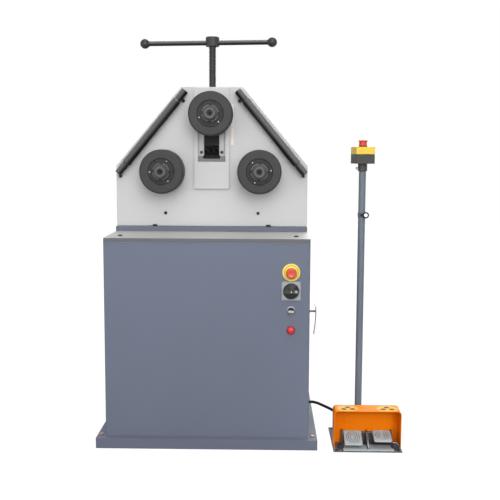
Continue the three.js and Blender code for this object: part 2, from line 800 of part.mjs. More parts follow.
// The slide: a tongue in the face plate's slot and a broad flange behind it, bored for shaft and screw
function slideBlock() {
  const tongueHalfWidth = slotHalfWidth - runGap;
  const tongue = box(
    -tongueHalfWidth, tongueHalfWidth, headFaceY + runGap, facePlateBackY + weld, slideLowZ, slideHighZ);
  const flange = box(
    -slideFlangeHalfWidth, slideFlangeHalfWidth, facePlateBackY + runGap, slideBackY,
    slideLowZ, slideHighZ);
  const shaftBore = rodY(
    boreRadius(shaftRadius), headFaceY - overrun, upperShaftEndY + runGap, 0, upperRollZ);
  const screwBore = rodZ(
    boreRadius(screwNeckRadius), slideHighZ - screwNeckLength - runGap, slideHighZ + overrun, 0, screwY);
  return part("slide_block", cut(join(tongue, flange), shaftBore, screwBore), blackSteel);
}

function screwNut() {
  const seatZ = headTopZ - headTopPlate - seatGap;
  const bore = boreRadius(screwRadius);
  const nut = turnedZ([
    [bore, seatZ - nutFlangeThickness], [nutFlangeRadius, seatZ - nutFlangeThickness],
    [nutFlangeRadius, seatZ], [nutRadius, seatZ], [nutRadius, headTopZ], [bore, headTopZ],
    [bore, seatZ - nutFlangeThickness],
  ], 0, screwY);
  return part("screw_nut", nut, bronze);
}

function crossHole() {
  const reach = hubRadius + overrun;
  const turn = THREE.MathUtils.degToRad(crossbarTurn);
  const geometry = new THREE.CylinderGeometry(
    boreRadius(crossbarRadius), boreRadius(crossbarRadius), 2 * reach, roundSides);
  return solid(geometry.rotateZ(Math.PI / 2).rotateZ(turn).translate(0, screwY, crossbarZ));
}

// The screw turns in the slide below and in the nut, and the crossbar passes through its top
function leadscrew() {
  const shoulderZ = slideHighZ + seatGap;
  const shaft = turnedZ([
    [0, slideHighZ - screwNeckLength], [screwNeckRadius, slideHighZ - screwNeckLength],
    [screwNeckRadius, shoulderZ], [screwRadius, shoulderZ], [screwRadius, screwTopZ], [0, screwTopZ],
  ], 0, screwY);
  return part("leadscrew", cut(shaft, crossHole()), darkSteel);
}

function handleHub() {
  const bore = boreRadius(screwRadius, seatGap);
  const hub = turnedZ([
    [bore, hubLowZ], [hubRadius - hubChamfer, hubLowZ], [hubRadius, hubLowZ + hubChamfer],
    [hubRadius, hubHighZ - hubChamfer], [hubRadius - hubChamfer, hubHighZ], [0, hubHighZ],
    [0, screwTopZ + seatGap], [bore, screwTopZ + seatGap], [bore, hubLowZ],
  ], 0, screwY);
  return part("handle_hub", cut(hub, crossHole()), blackSteel);
}

// The loose bar of the T-handle, with a ball on each end, turned about the screw
function crossbar() {
  const group = new THREE.Group();
  group.position.set(0, screwY, crossbarZ);
  group.rotation.z = THREE.MathUtils.degToRad(crossbarTurn);
  const ends = [-1, 1].map((side) => crossbarOffset + (side * crossbarSpan) / 2);
  const rod = rodX(crossbarRadius, ends[0], ends[1], 0, 0, roundSides);
  const balls = ends.map((x) => solid(
    new THREE.SphereGeometry(ballRadius, roundSides, roundSides / 2).translate(x, 0, 0)));
  group.add(part("crossbar", join(rod, ...balls), blackSteel));
  return group;
}

// Shaft with a centre hole in front, the roll's seat, and a collar behind the roll
function rollShaft(name, x, z, backY) {
  const holeY = shaftFrontY + shaftCentreHoleDepth;
  const collarBackY = rollBackY + seatGap + shaftCollarLength;
  const shaft = turnedY([
    [0, holeY], [shaftCentreHoleRadius, holeY], [shaftCentreHoleRadius, shaftFrontY],
    [shaftRadius - shaftChamfer, shaftFrontY], [shaftRadius, shaftFrontY + shaftChamfer],
    [shaftRadius, rollBackY + seatGap], [shaftCollarRadius, rollBackY + seatGap],
    [shaftCollarRadius, collarBackY], [shaftRadius, collarBackY], [shaftRadius, backY], [0, backY],
  ], x, z);
  return part(name, shaft, groundSteel);
}

// Roll built of rings, with a recess in front for its nut
function roll(name, x, z) {
  const bore = boreRadius(shaftRadius, seatGap, fineSides);
  const profile = [
    [bore, rollFrontY + rollRecessDepth], [rollRecessRadius, rollFrontY + rollRecessDepth],
    [rollRecessRadius, rollFrontY], [rollRadius - rollEdge, rollFrontY], [rollRadius, rollFrontY + rollEdge],
  ];
  for (let ring = 1; ring < rollRingCount; ring += 1) {
    const middle = rollFrontY + (ring * rollThickness) / rollRingCount;
    profile.push([rollRadius, middle - rollGrooveWidth / 2]);
    profile.push([rollRadius - rollGrooveDepth, middle]);
    profile.push([rollRadius, middle + rollGrooveWidth / 2]);
  }
  profile.push(
    [rollRadius, rollBackY - rollEdge], [rollRadius - rollEdge, rollBackY], [bore, rollBackY],
    [bore, rollFrontY + rollRecessDepth]);
  return part(name, turnedY(profile, x, z, fineSides), darkSteel);
}

function rollNut(name, x, z) {
  const bore = boreRadius(shaftRadius, seatGap);
  const seatY = rollFrontY + rollRecessDepth - seatGap;
  const ringY = seatY - nutRingThickness;
  const bossY = ringY - nutBossThickness;
  const nut = turnedY([
    [bore, bossY], [nutBossRadius, bossY], [nutBossRadius, ringY], [nutRingRadius, ringY],
    [nutRingRadius, seatY], [bore, seatY], [bore, bossY],
  ], x, z);
  return part(name, nut, darkSteel);
}

// Flanged bush that carries a low shaft in the face plate
function bearing(name, x) {
  const bore = boreRadius(shaftRadius);
  const flangeY = headFaceY - bearingFlangeThickness;
  const bush = turnedY([
    [bore, flangeY], [bearingFlangeRadius, flangeY], [bearingFlangeRadius, headFaceY],
    [bearingRadius, headFaceY], [bearingRadius, flangeY + bearingLength],
    [bore, flangeY + bearingLength], [bore, flangeY],
  ], x, lowerRollZ);
  return part(name, bush, castIron);
}

const pressureAngle = THREE.MathUtils.degToRad(20);
const dedendumShare = 1.25; // tooth root below the pitch circle, in modules

// Outline of a spur gear with true involute flanks, three points to a flank
function gearOutline(teeth, x, z, firstTooth) {
  const pitchRadius = (gearModule * teeth) / 2;
  const baseRadius = pitchRadius * Math.cos(pressureAngle);
  const tipRadius = pitchRadius + gearModule;
  const rootRadius = pitchRadius - dedendumShare * gearModule;
  const involute = (angle) => Math.tan(angle) - angle;
  const halfTooth = Math.PI / (2 * teeth) - gearBacklash / (4 * pitchRadius);
  const halfAngle = (radius) => halfTooth + involute(pressureAngle)
    - involute(Math.acos(Math.min(1, baseRadius / radius)));
  const flank = [rootRadius, (baseRadius + tipRadius) / 2, tipRadius];
  const points = [];
  for (let tooth = 0; tooth < teeth; tooth += 1) {
    const middle = firstTooth + (2 * Math.PI * tooth) / teeth;
    const rising = flank.map((radius) => [radius, middle - halfAngle(radius)]);
    const falling = flank.map((radius) => [radius, middle + halfAngle(radius)]).reverse();
    [...rising, ...falling].forEach(([radius, angle]) => points.push(
      [x + radius * Math.cos(angle), z + radius * Math.sin(angle)]));
  }
  return outline(points);
}

// Gear on a low shaft: a tooth gap faces the pinion
function driveGear(name, x) {
  const firstTooth = Math.PI / gearTeeth;
  const rim = runBack(gearOutline(gearTeeth, x, lowerRollZ, firstTooth), gearFrontY, gearBackY);
  const hub = rodY(gearHubRadius, gearFrontY - gearHubExtra, gearBackY + gearHubExtra, x, lowerRollZ);
  const bore = rodY(
    boreRadius(shaftRadius, seatGap), gearFrontY - gearHubExtra - overrun, gearBackY + gearHubExtra + overrun,
    x, lowerRollZ);
  return part(name, cut(join(rim, hub), bore), darkSteel);
}

function drivePinion() {
  const [frontY, backY] = [gearFrontY - pinionExtra, gearBackY + pinionExtra];
  const rim = runBack(gearOutline(pinionTeeth, 0, lowerRollZ, 0), frontY, backY);
  const shaft = rodY(
    pinionShaftRadius, backY - weld, gearboxFrontY + gearboxShaftReach - runGap, 0, lowerRollZ);
  return part("drive_pinion", join(rim, shaft), darkSteel);
}

// Plate across the inside of the head that carries the rear ends of the shafts and the gearbox
function bearingPlate() {
  const [frontY, backY] = [bearingPlateFrontY, bearingPlateBackY];
  const inside = runBack(
    outline(headOutline(headWall + seatGap, headTopPlate + seatGap, bearingPlateLowZ)), frontY, backY);
  const above = box(
    -headHalfWidth, headHalfWidth, frontY - overrun, backY + overrun, bearingPlateHighZ, headTopZ);
  const shaftBores = [-1, 1].map((side) => rodY(
    boreRadius(shaftRadius), frontY - overrun, backY + overrun, side * lowerRollX, lowerRollZ));
  const pinionBore = rodY(
    boreRadius(pinionShaftRadius), frontY - overrun, backY + overrun, 0, lowerRollZ);
  return part("bearing_plate", cut(inside, above, ...shaftBores, pinionBore), castIron);
}

function gearbox() {
  const half = gearboxSize / 2;
  const chamfered = outline([
    [-half, -half], [half, -half], [half, half - gearboxCorner], [half - gearboxCorner, half],
    [gearboxCorner - half, half], [-half, half - gearboxCorner],
  ].map(([u, v]) => [u, lowerRollZ + v]));
  const backY = gearboxFrontY + gearboxDepth;
  const body = runBack(chamfered, gearboxFrontY, backY);
  const cover = rodY(gearboxCoverRadius, backY - weld, backY + gearboxCoverThickness, 0, lowerRollZ);
  const bore = rodY(
    boreRadius(pinionShaftRadius), gearboxFrontY - overrun, gearboxFrontY + gearboxShaftReach, 0, lowerRollZ);
  return part("gearbox", cut(join(body, cover), bore), castAluminium);
}

// Flange motor that hangs from the gearbox into the cabinet
function driveMotor() {
  const flangeLowZ = motorTopZ - motorFlangeThickness;
  const fanTopZ = motorLowZ + fanCoverHeight;
  const body = turnedZ([
    [0, motorLowZ], [fanCoverRadius, motorLowZ], [fanCoverRadius, fanTopZ], [motorRadius, fanTopZ],
    [motorRadius, flangeLowZ], [motorFlangeRadius, flangeLowZ], [motorFlangeRadius, motorTopZ],
    [0, motorTopZ],
  ], motorX, motorY);
  const grooves = Array.from({ length: finCount }, (_, i) => {
    const groove = new THREE.BoxGeometry(finDepth, finWidth, flangeLowZ - fanTopZ - 2 * finMargin);
    groove.translate(motorRadius, 0, (flangeLowZ + fanTopZ) / 2);
    return solid(groove.rotateZ((2 * Math.PI * i) / finCount).translate(motorX, motorY, 0));
  });
  const terminalBox = box(
    motorX - motorRadius - terminalBoxDepth, motorX - motorRadius + terminalBoxFoot,
    motorY - terminalBoxWidth / 2, motorY + terminalBoxWidth / 2,
    terminalBoxLowZ, terminalBoxLowZ + terminalBoxHeight);
  return part("drive_motor", join(cut(body, ...grooves), terminalBox), castIron);
}

// A frame along one slope of the face: its own X axis runs up the slope, side is -1 left or 1 right
function alongSlope(side) {
  const run = headHalfWidth - headTopHalfWidth;
  const rise = headTopZ - headShoulderZ;
  const slope = Math.hypot(run, rise);
  const along = barLength / 2 - barOverShoulder;
  const group = new THREE.Group();
  const x = headHalfWidth - (along * run) / slope - (barInset * rise) / slope;
  const z = headShoulderZ + (along * rise) / slope - (barInset * run) / slope;
  group.position.set(side * x, barAxisY, z);
  group.rotation.y = side < 0 ? -Math.atan2(rise, run) : Math.atan2(rise, run) - Math.PI;
  return group;
}

// Fixed spindle with an end block on each end, each block on a foot on the face plate
function barSpindle(name) {
  const half = barLength / 2;
  const footDepth = headFaceY - seatGap - barAxisY;
  const pieces = [-1, 1].flatMap((end) => {
    const [tip, root] = [end * half, end * (half - barEndLength)];
    const [x0, x1] = [Math.min(tip, root), Math.max(tip, root)];
    const footX = tip - (end * barEndLength) / 2;
    return [
      rodX(barEndRadius, x0, x1, 0, 0, roundSides),
      box(footX - barFootLength / 2, footX + barFootLength / 2, 0, footDepth,
        -barFootWidth / 2, barFootWidth / 2),
    ];
  });
  return part(name, join(rodX(barRodRadius, -half + weld, half - weld, 0, 0, smallSides), ...pieces),
    blackSteel);
}

function barSleeve(name) {
  const half = barLength / 2 - barEndLength - barSleeveGap;
  const bore = boreRadius(barRodRadius);
  const sleeve = turnedX([
    [bore, -half], [barSleeveRadius, -half], [barSleeveRadius, half], [bore, half], [bore, -half],
  ], 0, 0);
  return part(name, sleeve, blackSteel);
}

function supportBar(side, word) {
  const group = alongSlope(side);
  group.add(barSpindle(`${word}_bar_spindle`), barSleeve(`${word}_bar_sleeve`));
  return group;
}

function scaleStrip() {
  return part("scale_strip", box(
    scaleX, scaleX + scaleWidth, headFaceY - scaleThickness, headFaceY, scaleLowZ, scaleHighZ), creamStrip);
}

// Barrel through the sheet and contact block behind it, shared by the round controls
function controlBarrel(z, stemRadius, boreDepth) {
  const blockY = cabinetFrontY + cabinetSheet + contactBlockStandOff;
  const half = contactBlock / 2;
  const barrel = rodY(controlBarrelRadius, cabinetFrontY - weld, blockY + weld, controlsX, z, smallSides);
  const block = box(
    controlsX - half, controlsX + half, blockY, blockY + contactBlockDepth, z - half, z + half);
  const bore = rodY(
    boreRadius(stemRadius, runGap, smallSides), cabinetFrontY - overrun - boreDepth,
    cabinetFrontY + boreDepth, controlsX, z, smallSides);
  return { body: join(barrel, block), bore };
}

function stopSwitch() {
  const legendY = cabinetFrontY - legendThickness;
  const collarY = legendY - stopCollarLength;
  const { body, bore } = controlBarrel(stopZ, stopStemRadius, stopStemLength);
  const legend = rodY(legendRadius, legendY, cabinetFrontY, controlsX, stopZ, fineSides);
  const collar = rodY(stopCollarRadius, collarY, cabinetFrontY, controlsX, stopZ);
  const longBore = rodY(
    boreRadius(stopStemRadius, runGap, smallSides), collarY - overrun, cabinetFrontY,
    controlsX, stopZ, smallSides);
  return part("stop_switch_body", cut(join(body, legend, collar), bore, longBore), yellowPlastic);
}

// Mushroom button: a domed cap on a skirt, and a stem into the switch body
function stopButton() {
  const collarY = cabinetFrontY - legendThickness - stopCollarLength;
  const backY = collarY - stopButtonTravel - runGap;
  const frontY = backY - stopButtonHeight;
  const stemEndY = cabinetFrontY + stopStemLength - stopButtonTravel - runGap;
  const edge = stopButtonEdge;
  const button = turnedY([
    [0, frontY], [stopButtonRadius - 2 * edge, frontY + edge / 3], [stopButtonRadius - edge, frontY + edge],
    [stopButtonRadius, frontY + 2 * edge], [stopButtonRadius, backY - edge],
    [stopButtonRadius - edge, backY], [stopStemRadius, backY], [stopStemRadius, stemEndY], [0, stemEndY],
  ], controlsX, stopZ);
  return part("stop_button", button, redPlastic);
}

function mainSwitchPlate() {
  const frontY = cabinetFrontY - switchPlateThickness;
  const blockY = cabinetFrontY + cabinetSheet + contactBlockStandOff;
  const half = switchBlock / 2;
  const plate = runBack(
    roundedRectangle(controlsX, switchZ, switchPlateSize, switchPlateSize, switchPlateCorner),
    frontY, cabinetFrontY);
  const barrel = rodY(
    controlBarrelRadius, cabinetFrontY - weld, blockY + weld, controlsX, switchZ, smallSides);
  const block = box(
    controlsX - half, controlsX + half, blockY, blockY + switchBlockDepth, switchZ - half, switchZ + half);
  const bore = rodY(
    boreRadius(switchShaftRadius, runGap, smallSides), frontY - overrun,
    cabinetFrontY + switchShaftLength, controlsX, switchZ, smallSides);
  return part("main_switch_plate", cut(join(plate, barrel, block), bore), greyPlastic);
}

// Round knob with a grip bar that lies level in the rest position
function mainSwitchKnob() {
  const backY = cabinetFrontY - switchPlateThickness - runGap;
  const discY = backY - switchKnobThickness;
  const disc = rodY(switchKnobRadius, discY, backY, controlsX, switchZ, fineSides);
  const grip = runBack(
    roundedRectangle(controlsX, switchZ, switchGripLength, switchGripWidth, switchGripCorner),
    discY - switchGripHeight, discY + weld);
  const shaft = rodY(
    switchShaftRadius, backY - weld, cabinetFrontY + switchShaftLength - runGap, controlsX, switchZ,
    smallSides);
  return part("main_switch_knob", join(disc, grip, shaft), blackPlastic);
}

function selectorBody() {
  const frontY = cabinetFrontY - bezelThickness;
  const { body, bore } = controlBarrel(selectorZ, switchShaftRadius, selectorStemLength);
  const bezel = rodY(bezelRadius, frontY, cabinetFrontY, controlsX, selectorZ);
  const recess = rodY(bezelBore, frontY - overrun, cabinetFrontY - bezelFloor, controlsX, selectorZ);
  return part("selector_body", cut(join(body, bezel), recess, bore), chromePlate);
}

function selectorKnob() {
  const backY = cabinetFrontY - bezelFloor - runGap;
  const discY = cabinetFrontY - bezelThickness;
  const radius = bezelBore - runGap;
  const disc = rodY(radius, discY, backY, controlsX, selectorZ);
  const grip = box(
    controlsX - selectorGripLength / 2, controlsX + selectorGripLength / 2,
    discY - selectorGripHeight, discY + weld,
    selectorZ - selectorGripWidth / 2, selectorZ + selectorGripWidth / 2);
  const shaft = rodY(
    switchShaftRadius, backY - weld, cabinetFrontY + selectorStemLength - runGap, controlsX, selectorZ,
    smallSides);
  return part("selector_knob", join(disc, grip, shaft), blackPlastic);
}

// Pilot lamp: a domed lens on its barrel, with the lamp block behind the sheet
function pilotLamp() {
  const { body } = controlBarrel(lampZ, stopStemRadius, stopStemLength);
  const rimY = cabinetFrontY - lensRim;
  const dome = lensDomeShares.map(([across, out]) => [across * lensRadius, rimY - out * lensBulge]);
  const lens = turnedY([
    [0, rimY - lensBulge], ...dome, [lensRadius, rimY], [lensRadius, cabinetFrontY], [0, cabinetFrontY],
  ], controlsX, lampZ);
  return part("pilot_lamp", join(body, lens), redPlastic);
}

// A cable gland is turned about its own axis, from its tail at -tail to its mouth at its length
function glandProfile() {
  return [
    [0, -glandTailLength], [glandTailRadius, -glandTailLength], [glandTailRadius, 0], [glandRadius, 0],
    [glandRadius, glandNutLength], [glandRadius - glandChamfer, glandNutLength + glandChamfer],
    [glandMouthRadius, glandLength], [0, glandLength],
  ];
}

function cabinetGland() {
  const [, y, z] = cableRoute[0];
  const profile = glandProfile().map(([radius, place]) => [radius, halfCabinetWidth + place]);
  return part("cabinet_gland", turnedX(profile, y, z, smallSides), blackPlastic);
}

function pedalGland() {
  const [x, , z] = cableRoute[cableRoute.length - 1];
  const profile = glandProfile().map(([radius, place]) => [radius, hoodBackY + place]);
  return part("pedal_gland", turnedY(profile, x, z, smallSides), blackPlastic);
}

function pedalCable() {
  const curve = new THREE.CatmullRomCurve3(cableRoute.map(([x, y, z]) => new THREE.Vector3(x, y, z)));
  const section = new THREE.Shape(Array.from({ length: cableSides }, (_, i) => {
    const angle = (2 * Math.PI * i) / cableSides;
    return new THREE.Vector2(cableRadius * Math.cos(angle), cableRadius * Math.sin(angle));
  }));
  const tube = new THREE.ExtrudeGeometry(section, { steps: cableSteps, extrudePath: curve });
  return part("pedal_cable", solid(tube), blackRubber);
}

function standPlate() {
  return part("stand_floor_plate", box(
    standPlateX - standPlateWidth / 2, standPlateX + standPlateWidth / 2,
    standPlateFrontY, standPlateBackY, 0, standPlateThickness), castIron);
}

// Bent hood: two sides, a top with round corners and a back, open in front and below
function pedalHood() {
  const arch = (wall, low) => {
    const half = hoodWidth / 2 - wall;
    const corner = hoodCorner - wall;
    const shape = new THREE.Shape();
    shape.moveTo(standPlateX - half, low);
    shape.lineTo(standPlateX + half, low);
    shape.absarc(standPlateX + half - corner, hoodTopZ - wall - corner, corner, 0, Math.PI / 2);
    shape.absarc(standPlateX - half + corner, hoodTopZ - wall - corner, corner, Math.PI / 2, Math.PI);
    shape.closePath();
    return shape;
  };
  const outside = runBack(arch(0, standTopZ), hoodFrontY, hoodBackY, bendSteps);
  const inside = runBack(
    arch(hoodSheet, standTopZ - overrun), hoodFrontY - overrun, hoodBackY - hoodSheet, bendSteps);
  const [glandX, , glandZ] = cableRoute[cableRoute.length - 1];
  const glandHole = rodY(
    boreRadius(glandTailRadius, seatGap, smallSides), hoodBackY - hoodSheet - overrun,
    hoodBackY + overrun, glandX, glandZ, smallSides);
  return part("pedal_hood", cut(outside, inside, glandHole), orangePaint);
}

// Cast frame of the pedals: a floor, two cheeks and a sloping divider, all bored for the pin
function pedalFrame() {
  const half = frameWidth / 2;
  const backY = hoodBackY - hoodSheet - seatGap;
  const floorTopZ = standTopZ + frameFloor;
  const earTopZ = pedalPinZ + pedalPinEarTop;
  const floor = box(frameX - half, frameX + half, frameFrontY, backY, standTopZ, floorTopZ);
  const cheek = outline([
    [frameEarFrontY, floorTopZ - weld], [backY, floorTopZ - weld], [backY, earTopZ],
    [pedalPinY - pedalPinEarTop, earTopZ],
  ]);
  const dividerOutline = outline([
    [frameFrontY, floorTopZ - weld], [backY, floorTopZ - weld], [backY, earTopZ],
    [pedalPinY - pedalPinEarTop, earTopZ], [frameFrontY, floorTopZ + dividerLowHeight],
  ]);
  const leftCheek = runRight(cheek, frameX - half, frameX - half + frameEar);
  const rightCheek = runRight(cheek, frameX + half - frameEar, frameX + half);
  const divider = runRight(
    dividerOutline, frameX - dividerThickness / 2, frameX + dividerThickness / 2);
  const pinBore = rodX(
    boreRadius(pedalPinRadius, runGap, smallSides), frameX - half - overrun, frameX + half + overrun,
    pedalPinY, pedalPinZ, smallSides);
  return part("pedal_frame", cut(join(floor, leftCheek, rightCheek, divider), pinBore), castAluminium);
}

function pedalPin() {
  const half = frameWidth / 2;
  return part("pedal_pin", rodX(
    pedalPinRadius, frameX - half, frameX + half, pedalPinY, pedalPinZ, smallSides), groundSteel);
}

// Cast pedal in its own frame: the pin's axis is its X axis, and the plate runs to the front
function pedal(name, side, tilt) {
  const group = new THREE.Group();
  group.position.set(frameX + side * pedalSpread, pedalPinY, pedalPinZ);
  group.rotation.x = THREE.MathUtils.degToRad(tilt);
  const half = pedalWidth / 2;
  const lowZ = pedalTopOverPin - pedalThickness;
  const plateShape = roundedRectangle(
    0, -pedalLength / 2, pedalWidth, pedalLength, pedalCorner);
  const plate = raised(plateShape, lowZ, pedalTopOverPin);
  const knuckle = rodX(pedalKnuckleRadius, -half, half, 0, 0, smallSides);
  const ribs = Array.from({ length: pedalRibCount }, (_, i) => {
    const share = (i + 1) / (pedalRibCount + 1);
    const rib = new THREE.Shape();
    const [reachX, reachY] = [share * half, (share * pedalLength) / 2];
    rib.absellipse(0, -pedalLength / 2, reachX + pedalRibWidth, reachY + pedalRibWidth, 0, 2 * Math.PI);
    const inner = new THREE.Path();
    inner.absellipse(0, -pedalLength / 2, reachX, reachY, 0, 2 * Math.PI, true);
    rib.holes.push(inner);
    return raised(rib, pedalTopOverPin - weld, pedalTopOverPin + pedalRibHeight, bendSteps);
  });
  const bore = rodX(
    boreRadius(pedalPinRadius, runGap, smallSides), -half - overrun, half + overrun, 0, 0, smallSides);
  group.add(part(name, cut(join(plate, knuckle, ...ribs), bore), castAluminium));
  return group;
}

// Tube pole with a round foot on the stand's floor plate
function standPole() {
  const inner = poleRadius - poleWall;
  const footTopZ = standTopZ + poleFootThickness;
  const pole = turnedZ([
    [inner, standTopZ], [poleFootRadius, standTopZ], [poleFootRadius, footTopZ], [poleRadius, footTopZ],
    [poleRadius, poleTopZ], [inner, poleTopZ], [inner, standTopZ],
  ], poleX, poleY);
  return part("stand_pole", pole, bluePaint);
}

// Clip round the pole, with a screw eye in front of it on the right
function poleClip() {
  const inner = boreRadius(poleRadius, seatGap);
  const outer = inner + clipBand;
  const [lowZ, highZ] = [clipZ - clipHeight / 2, clipZ + clipHeight / 2];
  const band = turnedZ([
    [inner, lowZ], [outer, lowZ], [outer, highZ], [inner, highZ], [inner, lowZ],
  ], poleX, poleY);
  const eyeFrontY = poleY - outer - clipEyeThickness;
  const eye = rodY(clipEyeRadius, eyeFrontY, eyeFrontY + clipEyeThickness, poleX + clipEyeX, clipZ);
  const tab = box(
    poleX, poleX + clipEyeX, eyeFrontY, poleY - inner, lowZ, highZ);
  const screw = rodY(
    clipScrewRadius, eyeFrontY - clipBand, eyeFrontY + weld, poleX + clipEyeX, clipZ, smallSides);
  return part("pole_clip", join(band, tab, eye, screw), blackSteel);
}

function boxFrame() {
  const group = new THREE.Group();
  group.position.set(poleX, poleY, 0);
  group.rotation.z = THREE.MathUtils.degToRad(boxTurn);
  return group;
}

// Lower half of the stop box, with the socket that the pole stands in
function boxBase() {
  const topZ = boxBaseLowZ + boxBaseHeight;
  const tray = cut(
    raised(roundedRectangle(0, 0, boxSide, boxSide, boxCorner), boxBaseLowZ, topZ),
    raised(roundedRectangle(0, 0, boxSide - 2 * boxWall, boxSide - 2 * boxWall, boxCorner - boxWall),
      boxBaseLowZ + boxWall, topZ + overrun));
  const socket = turnedZ([
    [0, boxSocketLowZ], [boxSocketRadius - boxSocketChamfer, boxSocketLowZ],
    [boxSocketRadius, boxSocketLowZ + boxSocketChamfer], [boxSocketRadius, boxBaseLowZ + weld],
    [0, boxBaseLowZ + weld],
  ], 0, 0);
  const poleBore = rodZ(
    boreRadius(poleRadius, seatGap), boxSocketLowZ - overrun, poleTopZ + seatGap, 0, 0);
  return part("box_base", cut(join(tray, socket), poleBore), blackPlastic);
}

function boxCover() {
  const cover = cut(
    raised(roundedRectangle(0, 0, boxSide, boxSide, boxCorner), boxCoverLowZ, boxCoverTopZ),
    raised(roundedRectangle(0, 0, boxSide - 2 * boxWall, boxSide - 2 * boxWall, boxCorner - boxWall),
      boxCoverLowZ - overrun, boxCoverTopZ - boxWall),
    rodZ(boreRadius(boxStemRadius, runGap, smallSides), boxCoverLowZ, boxCoverTopZ + overrun,
      0, 0, smallSides));
  return part("box_cover", cover, yellowPlastic);
}

// Flared push button of the stop box, with its stem through the cover
function boxButton() {
  const lowZ = boxCoverTopZ + boxButtonTravel + runGap;
  const topZ = boxCoverTopZ + boxButtonHeight;
  const button = turnedZ([
    [0, boxCoverTopZ - boxStemLength], [boxStemRadius, boxCoverTopZ - boxStemLength],
    [boxStemRadius, lowZ], [boxButtonRadius, lowZ], [boxButtonRadius, topZ - 2 * boxButtonRim],
    [boxButtonRimRadius, topZ - boxButtonRim], [boxButtonRimRadius, topZ - boxButtonRim / 2],
    [boxButtonRadius, topZ], [0, topZ],
  ], 0, 0);
  return part("box_stop_button", button, redPlastic);
}

function stopBox() {
  const group = boxFrame();
  group.add(boxBase(), boxCover(), boxButton());
  return group;
}

const ringRoller = new THREE.Group();
ringRoller.add(plinth(), cabinetShell(), serviceDoor(), hingePin(), doorLever(), tablePlate(), headFlange());
ringRoller.add(headHousing(), rearCover(), guidePlate());
ringRoller.add(gibStrip("left_gib_strip", -1), gibStrip("right_gib_strip", 1), slideBlock(), screwNut());
ringRoller.add(leadscrew(), handleHub(), crossbar());
for (const [word, x, z, backY] of [
  ["upper", 0, upperRollZ, upperShaftEndY],
  ["left", -lowerRollX, lowerRollZ, bearingPlateBackY + shaftTail],
  ["right", lowerRollX, lowerRollZ, bearingPlateBackY + shaftTail],
]) {
  ringRoller.add(rollShaft(`${word}_roll_shaft`, x, z, backY), roll(`${word}_roll`, x, z));
  ringRoller.add(rollNut(`${word}_roll_nut`, x, z));
}
for (const [word, side] of [["left", -1], ["right", 1]]) {
  ringRoller.add(bearing(`${word}_bearing`, side * lowerRollX), driveGear(`${word}_gear`, side * lowerRollX));
  ringRoller.add(supportBar(side, word));
}
ringRoller.add(drivePinion(), bearingPlate(), gearbox(), driveMotor(), scaleStrip());
ringRoller.add(stopSwitch(), stopButton(), mainSwitchPlate(), mainSwitchKnob());
ringRoller.add(selectorBody(), selectorKnob(), pilotLamp());
ringRoller.add(cabinetGland(), pedalCable(), pedalGland());
ringRoller.add(standPlate(), pedalHood(), pedalFrame(), pedalPin());
ringRoller.add(pedal("left_pedal", -1, leftPedalTilt), pedal("right_pedal", 1, rightPedalTilt));
ringRoller.add(standPole(), poleClip(), stopBox());

export default ringRoller;
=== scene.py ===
"""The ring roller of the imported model, dressed for its studio picture.

Every form is described in millimetres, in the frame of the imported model, and written in metres.
"""

import logging
from dataclasses import dataclass, replace
from enum import Enum
from math import copysign, cos, dist, pi, radians, sin
from typing import Callable, Iterable, Optional, Sequence, Union

import bmesh
import bpy
from mathutils import Matrix, Vector


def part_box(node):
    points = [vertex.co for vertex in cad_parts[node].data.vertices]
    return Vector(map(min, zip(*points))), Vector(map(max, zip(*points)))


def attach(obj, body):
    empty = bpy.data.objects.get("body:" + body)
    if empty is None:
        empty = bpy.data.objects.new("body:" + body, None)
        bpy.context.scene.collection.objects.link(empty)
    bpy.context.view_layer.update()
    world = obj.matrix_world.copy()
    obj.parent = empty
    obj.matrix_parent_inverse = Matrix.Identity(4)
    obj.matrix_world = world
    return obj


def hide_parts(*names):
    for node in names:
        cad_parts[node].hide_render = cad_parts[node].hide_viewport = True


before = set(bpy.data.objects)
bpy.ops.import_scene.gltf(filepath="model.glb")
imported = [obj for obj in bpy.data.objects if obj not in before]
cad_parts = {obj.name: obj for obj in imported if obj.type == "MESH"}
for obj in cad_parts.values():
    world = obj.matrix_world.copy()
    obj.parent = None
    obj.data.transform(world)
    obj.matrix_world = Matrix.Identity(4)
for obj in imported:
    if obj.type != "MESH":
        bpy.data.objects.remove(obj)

LOG = logging.getLogger("ring_roller")
MM = 0.001
STEPS = 80
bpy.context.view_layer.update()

Piece = bpy.types.Object
Socket = bpy.types.NodeSocket
Point = tuple[float, float, float]
Pair = tuple[float, float]

TO_FRONT: Point = (0.0, -1.0, 0.0)
TO_BACK: Point = (0.0, 1.0, 0.0)
TO_RIGHT: Point = (1.0, 0.0, 0.0)
UPWARDS: Point = (0.0, 0.0, 1.0)
QUARTER = pi / 2


class Grain(Enum):
    """How a surface is made, which sets its bump and its gloss."""

    POWDER = "powder coat"
    BRUSHED = "metal brushed along X"
    TURNED = "metal turned on a lathe"
    CAST = "cast metal"
    OXIDE = "black oxide"
    MOULDED = "moulded plastic"
    RUBBER = "rubber"
    POLISHED = "polished plating"


